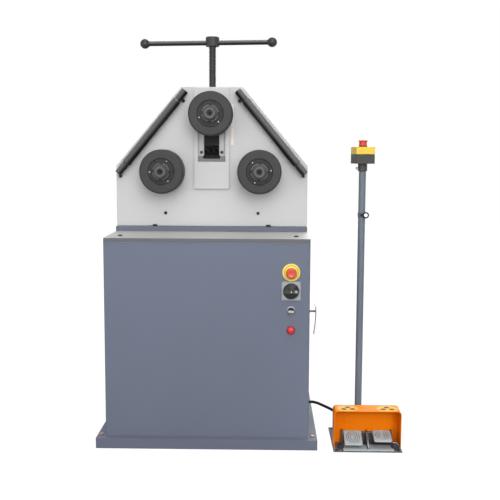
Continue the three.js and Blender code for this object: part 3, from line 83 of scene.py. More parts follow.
@dataclass(frozen=True)
class Finish:
    """What a surface looks like.

    Args:
        slot: Name of the record's material slot.
        grain: How the surface is made.
        colour: Red, green and blue from 0 to 255, as seen on a screen.
        rough: Mean roughness.
        metal: Share of metal.
        drift: How far the colour wanders, as a share of it.
        patch: Size of the patches of colour in mm.
        pitch: Size of the grain in mm.
        depth: Depth of the grain in mm.
        coat: Weight of a clear coat.
        gloss: Strength of the reflection.
        side: Colour of the faces that look sideways or down, where it differs: a real second tone on the
            table, painted shade on the other finishes that have one.
        turn: Upward shares of a face's direction between which the two colours meet.
    """

    slot: str
    grain: Grain
    colour: tuple[int, int, int]
    rough: float = 0.5
    metal: float = 0.0
    drift: float = 0.03
    patch: float = 20.0
    pitch: float = 0.8
    depth: float = 0.03
    coat: float = 0.0
    gloss: float = 0.3
    side: Optional[tuple[int, int, int]] = None
    turn: Pair = (0.55, 0.85)

    def tinted(self, *colour: int, **changes: object) -> "Finish":
        """The same finish in another colour, with what else differs."""
        return replace(self, colour=colour, **changes)


# Paint of the cabinet, the head and the stand
BLUE = Finish("blue_paint", Grain.POWDER, (111, 118, 135), patch=160.0, pitch=1.4, gloss=0.2)
# A lighter copy of the cabinet paint: a painted highlight on the bead under the table's edge.
BEAD_HIGHLIGHT_BLUE = BLUE.tinted(122, 129, 146)
# A darker copy of the cabinet paint: painted shade on the head's flange.
FLANGE_SHADE_BLUE = BLUE.tinted(103, 108, 121)
PLINTH_BLUE = Finish(
    "plinth_paint", Grain.POWDER, (108, 113, 130), drift=0.04, patch=120.0, pitch=1.4, gloss=0.2)
CLIP_BLUE = Finish(
    "pole_paint", Grain.POWDER, (94, 100, 112), rough=0.45, drift=0.05, pitch=1.2, depth=0.02)
POLE_BLUE = CLIP_BLUE.tinted(112, 121, 133, rough=0.4, drift=0.03, patch=80.0)
HEAD_GREY = Finish(
    "head_paint", Grain.POWDER, (203, 203, 203), drift=0.01, patch=140.0, pitch=1.6, depth=0.004,
    gloss=0.15)
GIB_GREY = Finish("head_paint", Grain.POWDER, (186, 186, 186), rough=0.4, patch=30.0, pitch=1.2)
# The hood's top is a lighter orange than its walls: painted light on the top and painted shade on the
# sides.
ORANGE = Finish(
    "orange_paint", Grain.POWDER, (250, 146, 14), rough=0.45, patch=60.0, pitch=1.2, gloss=0.06,
    side=(243, 130, 8))

# Steel of the table, the rolls, the drive and the screws
TABLE = Finish(
    "table_steel", Grain.BRUSHED, (190, 189, 187), rough=0.45, metal=0.15, drift=0.05, patch=60.0,
    depth=0.01, side=(98, 99, 105))
SILL_GREY = TABLE.tinted(112, 112, 112, metal=0.2, drift=0.04, patch=20.0, pitch=0.7, side=None)
GROUND = Finish(
    "ground_steel", Grain.TURNED, (92, 92, 93), rough=0.4, metal=0.25, drift=0.04, pitch=0.5, depth=0.008)
SHAFT_STEEL = GROUND.tinted(82, 82, 83, rough=0.42, metal=0.2)
ROLL_STEEL = Finish(
    "dark_steel", Grain.TURNED, (60, 60, 61), metal=0.1, drift=0.2, patch=6.0, pitch=0.9, gloss=0.2)
# A darker copy of the roll steel: painted shade in the rolls' recesses.
RECESS_SHADE_STEEL = ROLL_STEEL.tinted(48, 48, 49, drift=0.14)
NUT_STEEL = ROLL_STEEL.tinted(
    58, 58, 59, rough=0.4, metal=0.2, drift=0.1, pitch=0.6, depth=0.02, gloss=0.3)
# A much lighter copy of the nut steel: a painted highlight on the nuts' front rims.
RIM_HIGHLIGHT_STEEL = NUT_STEEL.tinted(140, 140, 141, depth=0.01)
GEAR_STEEL = Finish(
    "dark_steel", Grain.CAST, (84, 84, 86), rough=0.45, metal=0.6, drift=0.06, pitch=1.0, depth=0.02)
PINION_STEEL = GEAR_STEEL.tinted(44, 44, 45, rough=0.5, metal=0.1, gloss=0.1)
SCREW_STEEL = NUT_STEEL.tinted(58, 58, 59, grain=Grain.OXIDE, drift=0.06, patch=12.0, depth=0.01)
BLACK_STEEL = Finish(
    "black_steel", Grain.OXIDE, (60, 60, 62), rough=0.45, metal=0.1, drift=0.08, patch=25.0, depth=0.015,
    gloss=0.25)
# Lighter on upward faces and near-black on faces that look down: painted light and shade on the bars.
BAR_STEEL_LIT_AND_SHADED = BLACK_STEEL.tinted(
    114, 114, 116, rough=0.4, drift=0.06, side=(26, 26, 27), turn=(-0.3, 0.66))
SLIDE_STEEL = Finish("black_steel", Grain.OXIDE, (38, 38, 39), drift=0.1, patch=16.0, depth=0.02, gloss=0.1)
BALL_BLACK = Finish(
    "black_steel", Grain.MOULDED, (40, 40, 42), rough=0.32, pitch=1.0, depth=0.005, gloss=0.35)
# Near-black for the insides of holes: painted shade in the holes.
HOLE_SHADE_BLACK = SLIDE_STEEL.tinted(
    20, 20, 21, rough=0.6, drift=0.06, patch=6.0, pitch=0.5, depth=0.01, gloss=0.05)
SCREW_BLACK = HOLE_SHADE_BLACK.tinted(34, 34, 36, rough=0.4, metal=0.3, gloss=0.3)

# Bright metal and bronze
PIN_STEEL = Finish(
    "chrome_plate", Grain.POLISHED, (160, 160, 162), rough=0.35, metal=0.6, drift=0.04, patch=4.0,
    pitch=0.4, depth=0.002)
LEVER_STEEL = PIN_STEEL.tinted(112, 112, 114, rough=0.4, metal=0.2, drift=0.02, patch=6.0)
# Bright plating with dark faces that look down: painted shade under the selector's bezel.
SHADED_BEZEL = LEVER_STEEL.tinted(212, 212, 214, rough=0.3, metal=0.4, side=(96, 96, 100), turn=(-0.2, 0.5))
BRIGHT = LEVER_STEEL.tinted(222, 222, 224, rough=0.25, metal=0.85)
BRASSY = Finish(
    "bronze", Grain.OXIDE, (168, 150, 128), rough=0.34, metal=0.85, drift=0.08, patch=6.0, pitch=0.6,
    depth=0.01)
BRONZE = Finish(
    "bronze", Grain.TURNED, (172, 132, 78), rough=0.36, metal=0.9, drift=0.06, patch=12.0, pitch=0.5,
    depth=0.01)

# Cast iron and cast aluminium
IRON = Finish(
    "cast_iron", Grain.CAST, (104, 106, 109), rough=0.62, metal=0.45, drift=0.06, patch=18.0, pitch=2.2,
    depth=0.08)
# Its sideways faces are darker: painted shade at the edges of the floor plate.
FLOOR_IRON = Finish(
    "cast_iron", Grain.OXIDE, (116, 115, 115), rough=0.6, drift=0.07, patch=24.0, pitch=1.2, gloss=0.06,
    side=(88, 88, 89))
MOTOR_GREY = IRON.tinted(
    92, 96, 102, rough=0.55, metal=0.2, drift=0.05, patch=24.0, pitch=1.8, depth=0.05)
CAST = Finish(
    "cast_aluminium", Grain.CAST, (176, 186, 190), metal=0.05, drift=0.09, patch=9.0, pitch=1.2, depth=0.09,
    gloss=0.25)
# A darker copy of the cast aluminium: painted shade in the grooves of the pedals.
GROOVE_SHADE = CAST.tinted(122, 126, 128, rough=0.6, metal=0.0, depth=0.05, gloss=0.15)
# Dark cast for the guards beside the pedals, partly painted shade there.
GUARD_SHADE_DARK = CAST.tinted(60, 62, 66, metal=0.1, depth=0.05, gloss=0.2)
# A darker copy of the cast aluminium: painted shade on the pedal frame and its back plate.
FRAME_SHADE_CAST = CAST.tinted(92, 93, 96, metal=0.1, patch=12.0, pitch=1.4, depth=0.06, gloss=0.3)

# Plastic of the controls, the stop box and the stickers
BLACK_PLASTIC = Finish(
    "black_plastic", Grain.MOULDED, (34, 35, 34), rough=0.36, drift=0.05, patch=12.0, depth=0.02)
KNOB_BLACK = BLACK_PLASTIC.tinted(27, 28, 27, rough=0.34)
# A lighter copy of the knob's black: a painted highlight on the main switch's grip.
GRIP_HIGHLIGHT_BLACK = KNOB_BLACK.tinted(62, 63, 61)
BOX_BLACK = Finish("black_plastic", Grain.MOULDED, (69, 69, 66), rough=0.45, drift=0.04, pitch=0.9)
GREY_PLASTIC = Finish("grey_plastic", Grain.MOULDED, (172, 173, 176), rough=0.42, drift=0.02, depth=0.01)
PALE_PLASTIC = GREY_PLASTIC.tinted(206, 206, 208)
YELLOW = Finish(
    "yellow_plastic", Grain.MOULDED, (248, 212, 84), rough=0.4, patch=24.0, depth=0.01, gloss=0.2)
LEGEND_YELLOW = YELLOW.tinted(250, 232, 120, drift=0.02, patch=12.0, depth=0.005, gloss=0.3)
LEGEND_DEEP = LEGEND_YELLOW.tinted(226, 196, 62)
STICKER = YELLOW.tinted(248, 182, 44, rough=0.45, patch=10.0, depth=0.005, gloss=0.15)
STICKER_DARK = BLACK_PLASTIC.tinted(
    76, 46, 16, rough=0.5, drift=0.04, patch=8.0, depth=0.005, gloss=0.15)
# Dark brown under the stop box's button: a painted shadow.
COLLAR_SHADOW_BROWN = YELLOW.tinted(112, 66, 18, rough=0.5, patch=8.0, depth=0.005, gloss=0.1)
RED = Finish("red_plastic", Grain.MOULDED, (218, 86, 64), rough=0.32, patch=12.0, depth=0.005, coat=0.3)
BOX_RED = RED.tinted(206, 70, 56, rough=0.36, coat=0.2)
LAMP_RED = RED.tinted(222, 46, 48, rough=0.28, patch=8.0, pitch=0.6, depth=0.004)
LAMP_RIM = LAMP_RED.tinted(132, 40, 46, rough=0.35, coat=0.0)

# The scale, the cable and the wiper
CREAM = Finish("cream_strip", Grain.MOULDED, (234, 227, 220), drift=0.02, depth=0.004)
INK = CREAM.tinted(120, 114, 108, drift=0.03, patch=6.0, pitch=0.6, depth=0.002)
RUBBER = Finish("black_rubber", Grain.RUBBER, (34, 34, 34), drift=0.06, patch=14.0, depth=0.02, gloss=0.12)


def linear(colour: Iterable[int]) -> tuple[float, float, float, float]:
    """The linear value of a screen colour.

    Args:
        colour: Red, green and blue from 0 to 255.

    Returns:
        Red, green, blue and alpha for a shader's socket.
    """
    shares = [value / 255 for value in colour]
    bent = [s / 12.92 if s <= 0.04045 else ((s + 0.055) / 1.055) ** 2.4 for s in shares]
    return (bent[0], bent[1], bent[2], 1.0)


class Graph:
    """The nodes of one material, with short ways to add and to join them."""

    def __init__(self, name: str) -> None:
        """Makes a material with its main shader.

        Args:
            name: Name of the material.
        """
        self.material = bpy.data.materials.new(name)
        self.material.use_nodes = True
        self.tree = self.material.node_tree
        self.shader = self.tree.nodes["Principled BSDF"]

    def add(self, kind: str, **settings: object) -> bpy.types.Node:
        """Adds a node.

        Args:
            kind: The node's type name.
            settings: Properties of the node.

        Returns:
            The new node.
        """
        node = self.tree.nodes.new(kind)
        for name, value in settings.items():
            setattr(node, name, value)
        return node

    def feed(self, node: bpy.types.Node, **values: object) -> bpy.types.Node:
        """Sets or links inputs of a node. Underscores in a name stand for spaces.

        Args:
            node: The node that takes the values.
            values: A socket to link, or a plain value, for each input's name.

        Returns:
            The same node.
        """
        for name, value in values.items():
            socket = node.inputs[name.replace("_", " ")]
            if isinstance(value, Socket):
                self.tree.links.new(value, socket)
            else:
                socket.default_value = value
        return node

    def place(self) -> Socket:
        """The place on the object in metres."""
        return self.add("ShaderNodeTexCoord").outputs["Object"]

    def noise(self, where: Socket, size: float, detail: float = 2.0) -> Socket:
        """Noise with features of a given size.

        Args:
            where: The coordinates.
            size: Size of the features in mm.
            detail: How many finer layers it has.

        Returns:
            A socket from 0 to 1.
        """
        node = self.add("ShaderNodeTexNoise")
        self.feed(node, Vector=where, Scale=1000 / size, Detail=detail, Roughness=0.55)
        return node.outputs["Fac"]

    def spread(self, value: Socket, low: float, high: float) -> Socket:
        """Stretches the middle of a noise to a range.

        Args:
            value: The noise, from 0 to 1.
            low: Low end of the range.
            high: High end of the range.

        Returns:
            A socket in that range.
        """
        node = self.add("ShaderNodeMapRange")
        self.feed(node, Value=value, From_Min=0.3, From_Max=0.7, To_Min=low, To_Max=high)
        return node.outputs["Result"]

    def mean(self, first: Socket, second: Socket) -> Socket:
        """The mean of two values.

        Args:
            first: The one value.
            second: The other one.

        Returns:
            A socket half way between them.
        """
        node = self.add("ShaderNodeMix", data_type="FLOAT")
        node.inputs[0].default_value = 0.5
        self.tree.links.new(first, node.inputs[2])
        self.tree.links.new(second, node.inputs[3])
        return node.outputs[0]


class FinishShop:
    """Makes one material for each finish."""

    STRETCH = {Grain.BRUSHED: (0.02, 1, 1)}
    DETAIL = {Grain.CAST: 5.0, Grain.OXIDE: 4.0}
    SWAY = 0.06
    COAT_ROUGHNESS = 0.12

    def __init__(self) -> None:
        """Starts with no material made."""
        self.made: dict[Finish, bpy.types.Material] = {}

    def material(self, finish: Finish) -> bpy.types.Material:
        """The material of a finish, made when it is first asked for.

        Args:
            finish: What the surface looks like.

        Returns:
            Its material.
        """
        if finish not in self.made:
            self.made[finish] = self._make(finish)
        return self.made[finish]

    def _make(self, finish: Finish) -> bpy.types.Material:
        """Makes a material, in which patches and grain wander in colour and gloss together.

        Args:
            finish: What the surface looks like.

        Returns:
            The new material.
        """
        graph = Graph(f"{finish.slot}_{len(self.made)}")
        where = graph.place()
        fine = self._grain_place(graph, finish, where)
        patches = graph.noise(where, finish.patch, 3.0)
        grain = graph.noise(fine, finish.pitch, self.DETAIL.get(finish.grain, 2.0))
        tone = graph.spread(graph.mean(patches, grain), 1 - finish.drift, 1 + finish.drift)
        colour = graph.add("ShaderNodeHueSaturation")
        graph.feed(colour, Color=self._base(graph, finish), Value=tone)
        rough = graph.spread(
            graph.mean(patches, grain), finish.rough - self.SWAY, finish.rough + self.SWAY)
        bump = graph.add("ShaderNodeBump")
        graph.feed(bump, Height=grain, Distance=finish.depth * MM, Strength=1.0)
        graph.feed(
            graph.shader, Base_Color=colour.outputs["Color"], Roughness=rough,
            Normal=bump.outputs["Normal"], Metallic=finish.metal, Specular_IOR_Level=finish.gloss,
            Coat_Weight=finish.coat, Coat_Roughness=self.COAT_ROUGHNESS)
        return graph.material

    @staticmethod
    def _base(
        graph: Graph, finish: Finish
    ) -> Union[Socket, tuple[float, float, float, float]]:
        """The base colour, which may differ on faces that look sideways or down; on most finishes that have
        it, the darker colour is painted shade from the light above.

        Args:
            graph: The nodes of the material.
            finish: What the surface looks like.

        Returns:
            A plain colour, or a socket where it differs.
        """
        if finish.side is None:
            return linear(finish.colour)
        parts = graph.add("ShaderNodeSeparateXYZ")
        graph.feed(parts, Vector=graph.add("ShaderNodeNewGeometry").outputs["Normal"])
        share = graph.add("ShaderNodeMapRange")
        graph.feed(share, Value=parts.outputs["Z"], From_Min=finish.turn[0], From_Max=finish.turn[1])
        mix = graph.add("ShaderNodeMix", data_type="RGBA")
        graph.tree.links.new(share.outputs["Result"], mix.inputs[0])
        mix.inputs[6].default_value = linear(finish.side)
        mix.inputs[7].default_value = linear(finish.colour)
        return mix.outputs[2]

    def _grain_place(
        self, graph: Graph, finish: Finish, where: Socket
    ) -> Socket:
        """The coordinates of the grain: rings on turned metal, long lines on brushed metal.

        Args:
            graph: The nodes of the material.
            finish: What the surface looks like.
            where: The place on the object.

        Returns:
            The socket that the grain's noise takes.
        """
        if finish.grain is Grain.TURNED:
            rings = graph.add("ShaderNodeMapping")
            graph.feed(rings, Vector=graph.add("ShaderNodeTexCoord").outputs["UV"], Scale=(0.0, 1.0, 0.0))
            return rings.outputs["Vector"]
        if finish.grain in self.STRETCH:
            lines = graph.add("ShaderNodeMapping")
            graph.feed(lines, Vector=where, Scale=self.STRETCH[finish.grain])
            return lines.outputs["Vector"]
        return where


def bake(piece: Piece) -> Piece:
    """Turns a piece and its modifiers into one plain mesh.

    Args:
        piece: An object with modifiers.

    Returns:
        The same object, with no modifiers.
    """
    bpy.context.view_layer.update()
    graph = bpy.context.evaluated_depsgraph_get()
    mesh = bpy.data.meshes.new_from_object(
        piece.evaluated_get(graph), preserve_all_data_layers=True, depsgraph=graph)
    piece.modifiers.clear()
    piece.data = mesh
    return piece


class Form:
    """A closed mesh in the making."""

    def __init__(self) -> None:
        """Starts an empty mesh with room for a texture."""
        self.mesh = bmesh.new()
        self.uv = self.mesh.loops.layers.uv.new("UVMap")

    @classmethod
    def of_node(cls, node: str, pairs: bool = False) -> "Form":
        """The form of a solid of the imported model, with its loose triangles joined.

        Args:
            node: Name of the solid.
            pairs: Joins them only in pairs, which a thin wall round an opening needs.

        Returns:
            The new form.
        """
        form = cls()
        form.mesh.from_mesh(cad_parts[node].data)
        form.uv = form.mesh.loops.layers.uv.verify()
        bmesh.ops.remove_doubles(form.mesh, verts=form.mesh.verts, dist=0.01 * MM)
        if pairs:
            bmesh.ops.join_triangles(
                form.mesh, faces=form.mesh.faces, angle_face_threshold=radians(0.6),
                angle_shape_threshold=pi)
        else:
            bmesh.ops.dissolve_limit(
                form.mesh, angle_limit=radians(0.6), verts=form.mesh.verts, edges=form.mesh.edges)
        return form

    def _face(self, corners: Sequence[bmesh.types.BMVert], uvs: Optional[Sequence[Pair]] = None) -> None:
        """Adds a face with its places on the texture.

        Args:
            corners: Its corners.
            uvs: The place of each corner on the texture, or none.
        """
        face = self.mesh.faces.new(corners)
        for loop, uv in zip(face.loops, uvs or ()):
            loop[self.uv].uv = uv

    def loft(
        self, rings: Sequence[Sequence[Point]], lengths: Optional[Sequence[float]] = None,
        loop: bool = False
    ) -> "Form":
        """Joins rings of points into a skin, closed at its ends or back on itself.

        Args:
            rings: Rings of as many points each, or of one point.
            lengths: Place of each ring along the skin in mm, for its texture.
            loop: Whether the last ring joins the first one.

        Returns:
            This form.
        """
        made = [[self.mesh.verts.new(Vector(p) * MM) for p in ring] for ring in rings]
        along = [value * MM for value in lengths or range(len(rings))]
        if loop:
            made.append(made[0])
            along.append(along[-1] + (along[1] - along[0]))
        for (a, b), (s, t) in zip(zip(made, made[1:]), zip(along, along[1:])):
            count = max(len(a), len(b))
            for k in range(count):
                n = (k + 1) % count
                u, w = k / count, (k + 1) / count
                if len(a) == 1:
                    self._face((a[0], b[n], b[k]), ((u, s), (w, t), (u, t)))
                elif len(b) == 1:
                    self._face((a[k], a[n], b[0]), ((u, s), (w, s), (u, t)))
                else:
                    self._face((a[k], a[n], b[n], b[k]), ((u, s), (w, s), (w, t), (u, t)))
        if not loop:
            for ring in (made[0], made[-1]):
                if len(ring) > 2:
                    self._face(ring)
        return self

    def turn(
        self, profile: Sequence[Pair], origin: Point, axis: Point, steps: int = STEPS, loop: bool = False
    ) -> "Form":
        """Adds a turned shape.

        Args:
            profile: Radius and place along the axis of each ring.
            origin: Where the place along the axis is zero.
            axis: Direction of the axis.
            steps: Points in a ring.
            loop: Whether the profile closes on itself, as a tube's does.

        Returns:
            This form.
        """
        basis = Vector(axis).normalized().to_track_quat("Z", "Y").to_matrix()
        rings, lengths, run = [], [], 0.0
        for i, (radius, place) in enumerate(profile):
            if i:
                run += dist(profile[i - 1], profile[i])
            count = 1 if radius < 1e-6 else steps
            angles = [2 * pi * k / count for k in range(count)]
            rings.append([
                Vector(origin) + basis @ Vector((radius * cos(a), radius * sin(a), place))
                for a in angles])
            lengths.append(run)
        return self.loft(rings, lengths, loop)

    def extrude(self, outline: Sequence[Point], run: Point) -> "Form":
        """Adds a flat outline that runs along a vector."""
        far = [tuple(Vector(p) + Vector(run)) for p in outline]
        return self.loft([outline, far], (0.0, Vector(run).length))

    def box(self, low: Point, high: Point) -> "Form":
        """Adds a block between two corners."""
        (x0, y0, z0), (x1, y1, z1) = low, high
        return self.extrude([(x0, y0, z0), (x1, y0, z0), (x1, y1, z0), (x0, y1, z0)], (0, 0, z1 - z0))

    def shift(self, where: Callable[[Vector], bool], by: Point) -> "Form":
        """Moves some of the corners.

        Args:
            where: Says of a corner's place in mm whether it moves.
            by: How far it moves in mm.

        Returns:
            This form.
        """
        for vert in self.mesh.verts:
            if where(vert.co / MM):
                vert.co += Vector(by) * MM
        return self

    def move(self, matrix: Matrix) -> "Form":
        """Moves all that the form has so far."""
        bmesh.ops.transform(self.mesh, matrix=matrix, verts=self.mesh.verts)
        return self

    def piece(
        self, name: str, bevel: float = 0.5, segments: int = 3, angle: float = 33.0,
        cutters: Sequence[Piece] = ()
    ) -> Piece:
        """Writes the form as an object with rounded edges.

        Args:
            name: Name of the object.
            bevel: Width of the rounded edges in mm.
            segments: Steps across a rounded edge.
            angle: Edges that turn more than this many degrees are rounded.
            cutters: Objects whose volume is taken away first.

        Returns:
            The new object.
        """
        bmesh.ops.recalc_face_normals(self.mesh, faces=self.mesh.faces)
        mesh = bpy.data.meshes.new(name)
        self.mesh.to_mesh(mesh)
        self.mesh.free()
        mesh.shade_smooth()
        piece = bpy.data.objects.new(name, mesh)
        bpy.context.scene.collection.objects.link(piece)
        for cutter in cutters:
            carve = piece.modifiers.new("carve", "BOOLEAN")
            carve.operation, carve.solver, carve.object = "DIFFERENCE", "EXACT", cutter
        if bevel > 0:
            edge = piece.modifiers.new("edge", "BEVEL")
            edge.width, edge.segments = bevel * MM, segments
            edge.limit_method, edge.angle_limit = "ANGLE", radians(angle)
            edge.miter_outer = "MITER_ARC"
            flat = piece.modifiers.new("flat", "WEIGHTED_NORMAL")
            flat.weight = 60
        else:
            mesh.set_sharp_from_angle(angle=radians(angle))
        if piece.modifiers:
            bake(piece)
        return piece


def ring_points(radius: float, height: float, sides: int = 0, steps: int = 48) -> list[Point]:
    """A ring about Z, round or with flat sides.

    Args:
        radius: Radius, or distance to the flat sides.
        height: Its place along Z.
        sides: Number of flat sides, or 0 for a round ring.
        steps: Points in the ring.

    Returns:
        The points in mm.
    """
    points = []
    for k in range(steps):
        angle = 2 * pi * k / steps
        reach = radius
        if sides:
            part = 2 * pi / sides
            reach = radius / cos((angle + part / 2) % part - part / 2)
        points.append((reach * cos(angle), reach * sin(angle), height))
    return points


def rounded_rectangle(width: float, height: float, corner: float, steps: int = 6) -> list[Pair]:
    """The outline of a rectangle with round corners about zero.

    Args:
        width: Its width in mm.
        height: Its height in mm.
        corner: Radius of its corners in mm.
        steps: Steps round a corner.

    Returns:
        Its points, to the right and upwards.
    """
    points = []
    for i, (sx, sy) in enumerate(((1, 1), (-1, 1), (-1, -1), (1, -1))):
        for k in range(steps + 1):
            angle = QUARTER * (i + k / steps)
            points.append((
                sx * (width / 2 - corner) + corner * cos(angle),
                sy * (height / 2 - corner) + corner * sin(angle)))
    return points


@dataclass(frozen=True)
class Spot:
    """Where one copy of a repeated piece goes.

    Args:
        place: The copy's origin in mm.
        turn: Its rotation about X, Y and Z in radians. Unturned, it stands up along Z.
    """

    place: Point
    turn: Point = (0.0, 0.0, 0.0)


FACE_FRONT: Point = (QUARTER, 0.0, 0.0)
FACE_BACK: Point = (-QUARTER, 0.0, 0.0)


class Repeater:
    """Sets copies of one small piece at many spots with geometry nodes."""

    TURN = "turn"

    def __init__(self) -> None:
        """Makes the tree that sets a turned, sized and painted piece at each spot."""
        self.tree = bpy.data.node_groups.new("set_copies", "GeometryNodeTree")
        face = self.tree.interface
        face.new_socket("Spots", in_out="INPUT", socket_type="NodeSocketGeometry")
        self.piece, self.paint, self.scale = (
            face.new_socket(name, in_out="INPUT", socket_type=f"NodeSocket{kind}").identifier
            for name, kind in (("Piece", "Object"), ("Paint", "Material"), ("Size", "Float")))
        face.new_socket("Copies", in_out="OUTPUT", socket_type="NodeSocketGeometry")
        source = self._node("NodeGroupInput")
        info = self._node("GeometryNodeObjectInfo")
        turn = self._node("GeometryNodeInputNamedAttribute")
        turn.data_type = "FLOAT_VECTOR"
        turn.inputs["Name"].default_value = self.TURN
        rotation = self._node("FunctionNodeEulerToRotation")
        copies = self._node("GeometryNodeInstanceOnPoints")
        real = self._node("GeometryNodeRealizeInstances")
        painted = self._node("GeometryNodeSetMaterial")
        result = self._node("NodeGroupOutput")
        for start, end in (
            (source.outputs["Spots"], copies.inputs["Points"]),
            (source.outputs["Piece"], info.inputs["Object"]),
            (info.outputs["Geometry"], copies.inputs["Instance"]),
            (turn.outputs["Attribute"], rotation.inputs["Euler"]),
            (rotation.outputs["Rotation"], copies.inputs["Rotation"]),
            (source.outputs["Size"], copies.inputs["Scale"]),
            (copies.outputs["Instances"], real.inputs["Geometry"]),
            (real.outputs["Geometry"], painted.inputs["Geometry"]),
            (source.outputs["Paint"], painted.inputs["Material"]),
            (painted.outputs["Geometry"], result.inputs["Copies"]),
        ):
            self.tree.links.new(start, end)

    def _node(self, kind: str) -> bpy.types.Node:
        """Adds a node to the tree."""
        return self.tree.nodes.new(kind)

    def copies(
        self, name: str, pattern: Piece, spots: Sequence[Spot],
        paint: bpy.types.Material, size: float = 1.0
    ) -> Piece:
        """Makes one plain mesh of all the copies.

        Args:
            name: Name of the new object.
            pattern: The piece to copy, about its own origin.
            spots: Where the copies go.
            paint: The material of the copies.
            size: Scale of the copies.

        Returns:
            The new object.
        """
        cloud = bpy.data.meshes.new(name)
        cloud.from_pydata([Vector(s.place) * MM for s in spots], [], [])
        turns = cloud.attributes.new(self.TURN, "FLOAT_VECTOR", "POINT")
        turns.data.foreach_set("vector", [value for s in spots for value in s.turn])
        holder = bpy.data.objects.new(name, cloud)
        bpy.context.scene.collection.objects.link(holder)
        setter = holder.modifiers.new("copies", "NODES")
        setter.node_group = self.tree
        setter[self.piece] = pattern
        setter[self.paint] = paint
        setter[self.scale] = size
        return bake(holder)


class Patterns:
    """The small pieces that are copied. Each stands on its origin and points up."""

    def __init__(self) -> None:
        """Makes all the patterns."""
        self.hex_bolt = self._hex_bolt().piece("hex_bolt", 0.35)
        self.socket_screw = Form().loft([
            ring_points(5, -0.5), ring_points(5, 3.6), ring_points(4.6, 4), ring_points(3, 4),
            ring_points(2.5, 3.7, 6), ring_points(2.5, 1.4, 6)]).piece("socket_screw", 0.15, 2)
        self.dome_screw = self._dome_screw().piece("dome_screw", 0.1, 2, 50)
        self.pin = Form().turn(
            [(0, -1), (3, -1), (3, 2.4), (2.4, 3.1), (0, 3.1)],
            (0, 0, 0), UPWARDS, 24).piece("pin", 0.25)
        self.hole = Form().turn(
            [(0, -0.6), (3.2, -0.6), (3.2, 0.25), (2.6, 0.35), (2.4, -0.2), (0, -0.4)],
            (0, 0, 0), UPWARDS, 24).piece("hole", 0.1, 2)
        self.bead = Form().turn(
            [(0, -3), (1.6, -2.7), (2.7, -1.5), (3, 0), (2.7, 1.5), (1.6, 2.7), (0, 3)],
            (0, 0, 0), UPWARDS, 16).piece("bead", 0, angle=80)

    @staticmethod
    def _hex_bolt() -> Form:
        """A hexagon head on its washer."""
        form = Form().loft([ring_points(10.5, 0), ring_points(10.5, 1.4)])
        return form.loft([ring_points(8, 1.5, 6), ring_points(8, 6.3, 6), ring_points(7.6, 7.5)])

    @staticmethod
    def _dome_screw() -> Form:
        """A domed head with a hexagon socket.

        Returns:
            Its form.
        """
        rings = [ring_points(4, -0.3)] + [ring_points(4.0 * r, 2.2 * h) for r, h in (
            (1, 0), (1, 0.25), (0.9, 0.6), (0.7, 0.88), (0.5, 1))]
        return Form().loft([*rings, ring_points(1.52, 1.98, 6), ring_points(1.52, 0.66, 6)])

    def remove(self) -> None:
        """Deletes the patterns once all the copies are made."""
        for piece in (self.hex_bolt, self.socket_screw, self.dome_screw, self.pin, self.hole, self.bead):
            bpy.data.objects.remove(piece)


class Workshop:
    """Gives pieces their finish, sets them on their bodies and makes the copies."""

    def __init__(self) -> None:
        """Opens with its finishes, its tree for copies and its patterns."""
        self.paint = FinishShop()
        self.repeater = Repeater()
        self.patterns = Patterns()

    def fit(self, piece: Piece, body: str, finish: Finish, *nodes: str) -> Piece:
        """Paints a piece and sets it on its body.

        Args:
            piece: The new object.
            body: The body that it moves with.
            finish: What its surface looks like.
            nodes: The solids that it stands for.

        Returns:
            The same object.
        """
        piece.data.materials.clear()
        piece.data.materials.append(self.paint.material(finish))
        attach(piece, body)
        if nodes:
            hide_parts(*nodes)
        return piece

    def dress(self, node: str, body: str, finish: Finish, *edges: float) -> Piece:
        """Replaces a solid by its own form with rounded edges.

        Args:
            node: Name of the solid.
            body: The body that it moves with.
            finish: What its surface looks like.
            edges: Width, steps and least angle of the rounded edges.

        Returns:
            The new object.
        """
        piece = Form.of_node(node).piece(f"{node}_piece", *edges)
        return self.fit(piece, body, finish, node)

    def copies(
        self, name: str, pattern: Piece, spots: Sequence[Spot], body: str, finish: Finish,
        size: float = 1.0
    ) -> Piece:
        """Makes copies of a pattern and sets them on a body.

        Args:
            name: Name of the new object.
            pattern: The piece to copy.
            spots: Where the copies go.
            body: The body that they move with.
            finish: What their surface looks like.
            size: Scale of the copies.

        Returns:
            The new object.
        """
        piece = self.repeater.copies(name, pattern, spots, self.paint.material(finish), size)
        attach(piece, body)
        return piece


@dataclass(frozen=True)
class Viewpoint:
    """The camera that was fitted to the photograph.

    Args:
        place: Where it stands in mm.
        yaw: Degrees to the right of straight ahead.
        pitch: Degrees above the horizon.
        roll: Degrees about its axis.
        focal: Focal length in pixels of the picture.
        picture: Width of the picture in pixels.
        sensor: Width of the sensor in mm.
    """

    place: Point = (200.0, -3153.0, 1015.0)
    yaw: float = -1.07
    pitch: float = -6.56
    roll: float = 0.25
    focal: float = 860.0
    picture: float = 500.0
    sensor: float = 36.0

    def set_up(self) -> Piece:
        """Makes the camera and gives it to the scene.

        Returns:
            The camera.
        """
        yaw, pitch, roll = (radians(v) for v in (self.yaw, self.pitch, self.roll))
        level = cos(pitch)
        ahead = Vector((sin(yaw) * level, cos(yaw) * level, sin(pitch)))
        side = Vector((cos(yaw), -sin(yaw), 0.0))
        up = side.cross(ahead)
        right = cos(roll) * side + sin(roll) * up
        top = cos(roll) * up - sin(roll) * side
        data = bpy.data.cameras.new("camera")
        data.sensor_width = self.sensor
        data.lens = self.focal * self.sensor / self.picture
        camera = bpy.data.objects.new("camera", data)
        bpy.context.scene.collection.objects.link(camera)
        camera.matrix_world = Matrix((right, top, -ahead)).transposed().to_4x4()
        camera.location = Vector(self.place) * MM
        bpy.context.scene.camera = camera
        return camera


